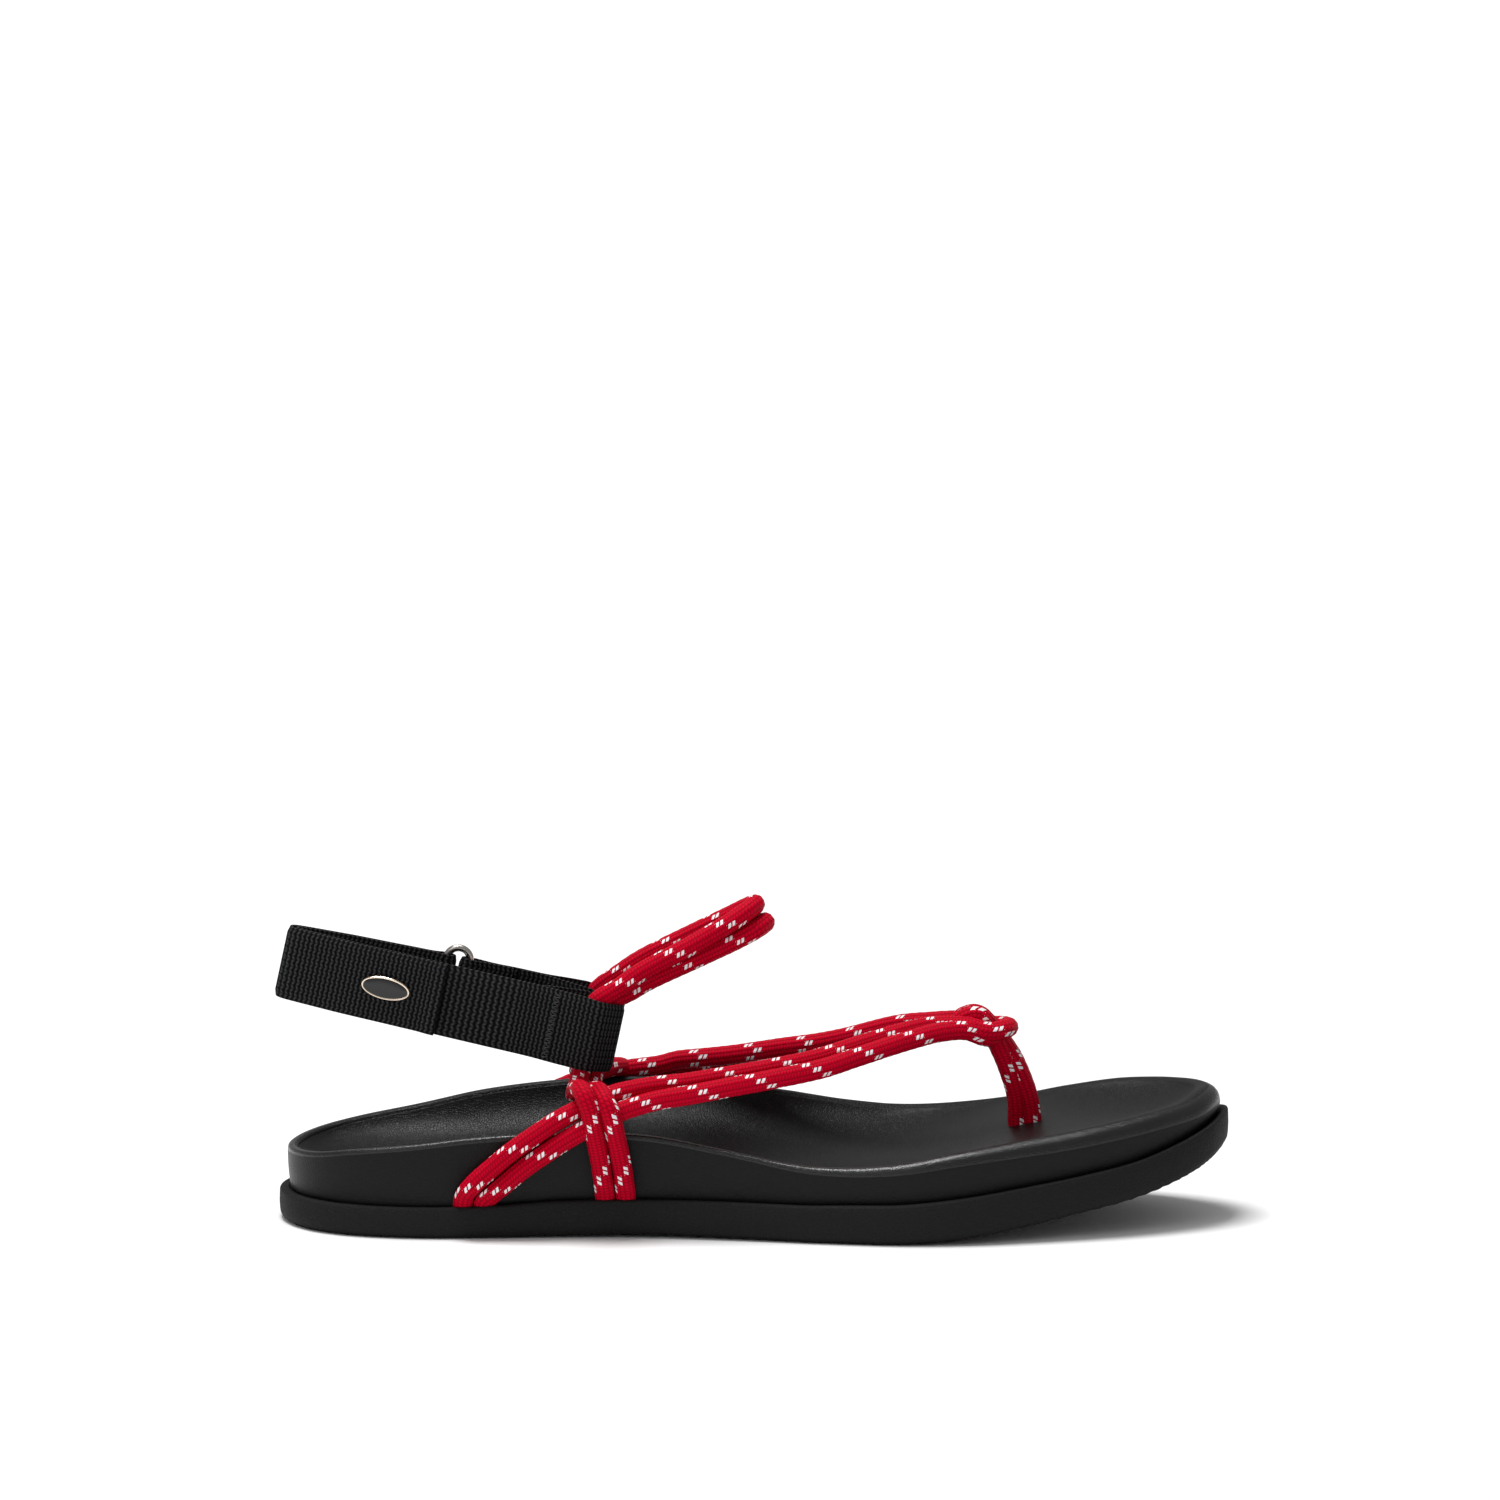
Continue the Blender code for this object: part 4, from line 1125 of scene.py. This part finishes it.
def webbing(path, coarse):
    """A ribbed strip that stands on edge along a path in the strap's plane, coarser over one stretch of it."""
    place = strap_place()
    section = [(1, height / SECTION_STEPS - 0.5) for height in range(SECTION_STEPS, -1, -1)]
    section += [(-1, height / SECTION_STEPS - 0.5) for height in range(SECTION_STEPS + 1)]
    ribs = [0.0]
    for first, second, length in zip(path, path[1:], lengths_along(path)[1:]):
        pitch = COARSE_PITCH if coarse[0] < length < coarse[1] else RIB_PITCH
        ribs.append(ribs[-1] + (second - first).length / pitch)
    rings = []
    for point, run, rib in zip(path, directions(path), ribs):
        dip = STRAP_DIP * max(point.x / STRAP_REACH - DIP_START, 0.0) / (1 - DIP_START)
        raised = RIB_DEPTH * math.cos(2 * math.pi * rib)
        spots = []
        for edge, height in section:
            rim = max(abs(height) - SELVEDGE_START, 0.0) / (0.5 - SELVEDGE_START)
            thick = STRAP_THICK / 2 * math.sqrt(max(1 - SELVEDGE_THIN * rim * rim, 0.0)) + raised * (1 - rim)
            spot = point + Vector((-run.y, run.x, 0.0)) * thick * edge
            spot.z = height * STRAP_WIDTH - dip * (height + 0.5)
            spots.append(place @ flared(spot))
        rings.append(spots)
    form = skinned(rings, cap)
    heights = [height + 0.5 for _, height in section]
    heights.append(heights[0])
    lay_out(form, "strip_run", len(section), lambda around, row: (heights[around], ribs[row] * RIB_PITCH))
    return form


def webbing_material():
    """Black webbing: raised ribs across the strip, each of fine slanted picks, grey on the crests as a painted
    highlight and near black between them as painted shade.
    """
    made, nodes, links, shader = blank_material("ribbed_webbing")
    sum_of = functools.partial(worked_out, made.node_tree)
    width, along = laid_map(nodes, links, "strip_run")
    rows = sum_of("DIVIDE", along, RIB_PITCH)
    across = sum_of("MULTIPLY", width, 2 * math.pi * PICKS_ACROSS)
    swayed = sum_of("ADD", rows, sum_of("MULTIPLY", sum_of("SINE", across), 0.13))
    wave = sum_of("COSINE", sum_of("MULTIPLY", swayed, 2 * math.pi))
    ridge = sum_of("ADD", sum_of("MULTIPLY", wave, 0.5), 0.5)
    twice = sum_of("COSINE", sum_of("MULTIPLY", across, 2.0))
    beads = sum_of("ADD", sum_of("MULTIPLY", twice, 0.22), 0.78)
    raised = sum_of("MULTIPLY", ridge, beads)
    # Painted highlight and shade: the colour runs from near black between the ribs to grey on their crests, by
    # the rib height.
    painted_crest_light = sum_of("POWER", raised, 1.6)
    bumped(nodes, links, raised, shader, strength=0.8, distance=RIB_DEPTH)
    colour = coloured(nodes, links, painted_crest_light, (0.0010, 0.0010, 0.0011), (0.052, 0.053, 0.056))
    links.new(colour, shader.inputs["Base Color"])
    set_inputs(shader, Roughness=0.75, Specular_IOR_Level=0.08)
    return made


def strap_points():
    """The strap's middle line: outer front loop, round the heel, through the ring and back."""
    layer = STRAP_THICK + FIT
    back = strap_half(0.0)
    heel = Vector((back, 0.0, 0.0))
    bar = ring_bars()[0]
    near = bar.x / STRAP_REACH - 0.04
    points = rope_loop(-1)
    points += leg(STITCH_PLACE - 0.1, BACK_TURN, -1, -layer / 2, 8)
    points += arc(heel, back - layer / 2, -HEEL_TURN, HEEL_TURN - 360, 6)
    points += leg(BACK_TURN, near, 1, -layer / 2, 5)
    points += arc(bar, bar_fold(), -90, 90, 6)
    points += leg(near, BACK_TURN, 1, layer / 2, 5)
    points += arc(heel, back + layer / 2, HEEL_TURN, 360 - HEEL_TURN, 6)
    points += leg(BACK_TURN, CLOSURE_END - 0.05, -1, layer / 2, 6)
    points += leg(CLOSURE_END - 0.02, CLOSURE_END, -1, layer / 2 + END_CURL, 1)
    return points


ribbed_webbing = webbing_material()
heel_strap = webbing(smooth_path(strap_points(), RIB_PITCH / 4), COARSE_STRETCH)
finished("heel_strap_webbing", heel_strap, [ribbed_webbing], "heel_strap", 60)


# Ring tab
# The short loop of the same webbing that holds the ring to the inner instep ropes. It turns round the
# ring's front bar and round the ropes, and its end is sewn down.


def tab_points():
    """The tab's middle line: from its sewn end round the ring's front bar and round the inner ropes."""
    layer = STRAP_THICK + FIT
    bar = ring_bars()[1]
    near = bar.x / STRAP_REACH + 0.07
    points = leg(STITCH_PLACE - 0.10, near, 1, -layer, 1)
    points += arc(bar, bar_fold(), -90, -270, 6)
    points += leg(near, STITCH_PLACE - 0.09, 1, 0.0, 1)
    points += rope_loop(1)[::-1]
    points += leg(STITCH_PLACE - 0.04, STITCH_PLACE - 0.08, 1, -layer, 1)
    return points


ring_tab = webbing(smooth_path(tab_points(), RIB_PITCH / 4), (0.0, 0.0))
finished("ring_tab_webbing", ring_tab, [ribbed_webbing], "ring_tab", 60)


# Stitching
# Black zigzag stitching up the webbing where each front loop is closed, one seam on the outer side and
# one on the inner. The thread lies on the face of the webbing.

THREAD_RADIUS = 0.00022
SEAM_PLACE = 0.800
SEAM_WIDTH = 0.0014
ZIGZAG_TURNS = 14
OUTER_FACE = STRAP_THICK / 2 + (STRAP_THICK + FIT) * 0.2


def round_section(point, run, aside, radius, sides):
    """Spots of a round section across a run, the first one in the aside direction."""
    up = run.cross(aside)
    turns = [2 * math.pi * side / sides for side in range(sides)]
    return [point + (aside * math.cos(turn) + up * math.sin(turn)) * radius for turn in turns]


def thread(path):
    """A round thread along a path."""
    aside = (path[1] - path[0]).normalized().orthogonal().normalized()
    rings = []
    for point, run in zip(path, directions(path)):
        aside = (aside - run * aside.dot(run)).normalized()
        rings.append(round_section(point, run, aside, THREAD_RADIUS, 6))
    return skinned(rings, cap)


def zigzag(side):
    """Points of a zigzag up one side's face of the webbing."""
    points = []
    for number in range(ZIGZAG_TURNS * 2 + 1):
        forward = SEAM_PLACE * STRAP_REACH + (SEAM_WIDTH / 2 if number % 2 else -SEAM_WIDTH / 2)
        height = (number / (ZIGZAG_TURNS * 2) - 0.5) * STRAP_WIDTH * 0.9
        spot = Vector((forward, side * (strap_half(forward) + OUTER_FACE), height))
        points.append(strap_place() @ flared(spot))
    return points


def thread_material():
    """Black thread, a little paler in fine specks."""
    made, nodes, links, shader = blank_material("seam_thread")
    set_inputs(shader, Roughness=0.55)
    place = nodes.new("ShaderNodeTexCoord")
    specks = nodes.new("ShaderNodeTexNoise")
    set_inputs(specks, Scale=4000.0)
    links.new(place.outputs["Object"], specks.inputs["Vector"])
    colour = coloured(nodes, links, specks.outputs["Fac"], (0.006, 0.006, 0.007), (0.03, 0.03, 0.032))
    links.new(colour, shader.inputs["Base Color"])
    return made


seam_thread = thread_material()
for seam_name, seam_side, seam_node in (("seam_outer", -1, "heel_strap"), ("seam_inner", 1, "ring_tab")):
    seam = thread(smooth_path(zigzag(seam_side), 0.0005))
    finished(seam_name, seam, [seam_thread], seam_node, 80)


# Ring
# A flattened oval of polished wire, closed without a visible joint. Its rear bar lies in the fold of the
# strap and its front bar in the tab.

RING_HEIGHT = 0.026
OVAL_POINTS = 48


def ring_body():
    """A round wire along an oval whose upright bars stand where the webbing turns round them."""
    place = strap_place()
    rear, front = ring_bars()
    centre = (rear + front) / 2
    half_x = (front - rear).length / 2
    half_z = (RING_HEIGHT - RING_WIRE) / 2
    corners = []
    for number in range(OVAL_POINTS):
        angle = 2 * math.pi * (number + 0.5) / OVAL_POINTS
        away = Vector((math.cos(angle), 0.0, math.sin(angle)))
        straight = Vector((0.0, 0.0, math.copysign(half_z - half_x, math.sin(angle))))
        corners.append(centre + straight + away * half_x)
    path = smooth_path(corners, 0.0006, closed=True)
    rings = []
    for index in range(len(path) + 1):
        point = path[index % len(path)]
        run = (path[(index + 1) % len(path)] - path[index - 1]).normalized()
        section = round_section(point, run, Vector((0.0, 1.0, 0.0)), RING_WIRE / 2, 20)
        rings.append([place @ flared(spot) for spot in section])
    form = skinned(rings)
    bmesh.ops.remove_doubles(form, verts=form.verts, dist=0.00002)
    return form


def metal(name, colour, roughness, scratch):
    """Bare metal with faint hairlines in its roughness."""
    made, nodes, links, shader = blank_material(name)
    place = nodes.new("ShaderNodeTexCoord")
    lines = nodes.new("ShaderNodeTexNoise")
    set_inputs(lines, Scale=scratch)
    links.new(place.outputs["Object"], lines.inputs["Vector"])
    rough = ranged(nodes, links, lines.outputs["Fac"], roughness * 0.9, roughness * 1.1)
    links.new(rough, shader.inputs["Roughness"])
    set_inputs(shader, Base_Color=(*colour, 1.0), Metallic=1.0)
    return made


ring_wire = metal("ring_wire", colour=(0.46, 0.43, 0.40), roughness=0.26, scratch=400.0)
finished("ring_oval", ring_body(), [ring_wire], "ring", 60)


# Badge
# A small oval metal plate pressed onto the outer layer of the strap: a thin bright rim round a glossy
# black face, left bare.

BADGE_LENGTH = 0.0136
BADGE_HEIGHT = 0.0063
BADGE_THICK = 0.0012
BADGE_PLACE = 0.302
BADGE_SIDES = 96
FACE_BANDS = range(7, 9)

# From the plate's edge to its middle: size, where 1 is the whole plate, and height as a share of its thickness
BADGE_PROFILE = (
    (1.00, 0.00),
    (1.00, 0.55),
    (0.98, 0.82),
    (0.93, 0.97),
    (0.87, 1.00),
    (0.81, 0.94),
    (0.79, 0.80),
    (0.55, 0.84),
    (0.20, 0.86),
)


def badge_body():
    """Ovals one inside the other, laid on the strap's outer face along its slant."""
    place = strap_place()
    forward = BADGE_PLACE * STRAP_REACH
    behind = forward - BADGE_LENGTH / 2
    ahead = forward + BADGE_LENGTH / 2
    surface = STRAP_THICK + FIT / 2
    turn = math.atan2(strap_half(ahead) - strap_half(behind), BADGE_LENGTH)
    run = Vector((math.cos(turn), -math.sin(turn), 0.0))
    away = Vector((-math.sin(turn), -math.cos(turn), 0.0))
    base = Vector((forward, -(strap_half(forward) + surface), 0.0))
    rings = []
    for size, lift in BADGE_PROFILE:
        inset = (1 - size) * BADGE_HEIGHT / 2
        middle = base + away * (FIT * 1.6 + BADGE_THICK * lift)
        spots = []
        for side in range(BADGE_SIDES):
            angle = 2 * math.pi * side / BADGE_SIDES
            spot = middle + run * ((BADGE_LENGTH / 2 - inset) * math.cos(angle))
            spot.z += (BADGE_HEIGHT / 2 - inset) * math.sin(angle)
            spots.append(place @ flared(spot))
        rings.append(spots)
    return skinned(rings, cap, FACE_BANDS)


badge_rim = metal("badge_rim", colour=(0.86, 0.72, 0.58), roughness=0.20, scratch=1500.0)
badge_face = grained_material(
    "badge_face",
    cells=900.0,
    crease=0.0,
    low=(0.004, 0.004, 0.004),
    high=(0.007, 0.007, 0.007),
    rough=(0.10, 0.18),
    bump_depth=0.00001,
    gloss=0.5,
)
finished("badge_plate", badge_body(), [badge_rim, badge_face], "badge", 35)


# Floor, light and camera
# A pale floor that glows from a little way out, so that it meets the white sky unseen. A broad soft light
# hangs above, a weak one stands in front, and the camera looks a little down on the side of the sandal.

FLOOR_REACH = 12.0
GLOW_START = 0.40
GLOW_END = 1.10
SKY_SEEN = 1.1
SKY_LIGHT = 0.36
CAMERA_LENS = 193.6
CAMERA_AWAY = 2.2
CAMERA_SHIFT = -0.0011
CAMERA_RISE = math.radians(11.5)
CAMERA_DIP = math.radians(8.2)

floor_form = bmesh.new()
bmesh.ops.create_grid(floor_form, x_segments=1, y_segments=1, size=FLOOR_REACH)
floor_mesh = bpy.data.meshes.new("floor")
floor_form.to_mesh(floor_mesh)
floor_form.free()
placed("floor", floor_mesh)

paper, paper_nodes, paper_links, paper_shader = blank_material("paper")
set_inputs(paper_shader, Base_Color=(0.92, 0.92, 0.92, 1.0), Roughness=0.9, Emission_Strength=0.8)
paper_place = paper_nodes.new("ShaderNodeTexCoord")
away_from_middle = paper_nodes.new("ShaderNodeVectorMath")
away_from_middle.operation = "LENGTH"
paper_links.new(paper_place.outputs["Object"], away_from_middle.inputs[0])
glow = paper_nodes.new("ShaderNodeMapRange")
set_inputs(glow, From_Min=GLOW_START, From_Max=GLOW_END)
paper_links.new(away_from_middle.outputs["Value"], glow.inputs["Value"])
paper_links.new(glow.outputs["Result"], paper_shader.inputs["Emission Color"])
floor_mesh.materials.append(paper)

sky = bpy.data.worlds.new("studio")
sky.use_nodes = True
sky_nodes, sky_links = sky.node_tree.nodes, sky.node_tree.links
seen = sky_nodes.new("ShaderNodeBackground")
dim = sky_nodes["Background"]
for part, strength in ((seen, SKY_SEEN), (dim, SKY_LIGHT)):
    set_inputs(part, Color=(1.0, 1.0, 1.0, 1.0), Strength=strength)
ray = sky_nodes.new("ShaderNodeLightPath")
either = sky_nodes.new("ShaderNodeMixShader")
sky_links.new(ray.outputs["Is Camera Ray"], either.inputs["Fac"])
sky_links.new(dim.outputs["Background"], either.inputs[1])
sky_links.new(seen.outputs["Background"], either.inputs[2])
sky_links.new(either.outputs["Shader"], sky_nodes["World Output"].inputs["Surface"])
bpy.context.scene.world = sky
bpy.context.scene.view_settings.view_transform = "Standard"

# Each light's name, place, width in metres and power in watts
for light_name, light_place, light_size, light_power in (
    ("top", (-0.20, 0.05, 1.20), 0.55, 15.5),
    ("front", (-0.70, -1.10, 1.00), 0.70, 2.5),
):
    lamp = bpy.data.lights.new(light_name, "AREA")
    lamp.size = light_size
    lamp.energy = light_power
    lit = placed(light_name, lamp)
    lit.location = light_place
    lit.rotation_euler = Vector(light_place).to_track_quat("Z", "Y").to_euler()

camera_data = bpy.data.cameras.new("camera")
camera_data.lens = CAMERA_LENS
camera_data.sensor_width = 36.0
camera_data.clip_end = 100.0
camera = placed("camera", camera_data)
camera.location = (CAMERA_SHIFT, -CAMERA_AWAY * math.cos(CAMERA_RISE), CAMERA_AWAY * math.sin(CAMERA_RISE))
camera.rotation_euler = (math.pi / 2 - CAMERA_DIP, 0.0, 0.0)
bpy.context.scene.camera = camera
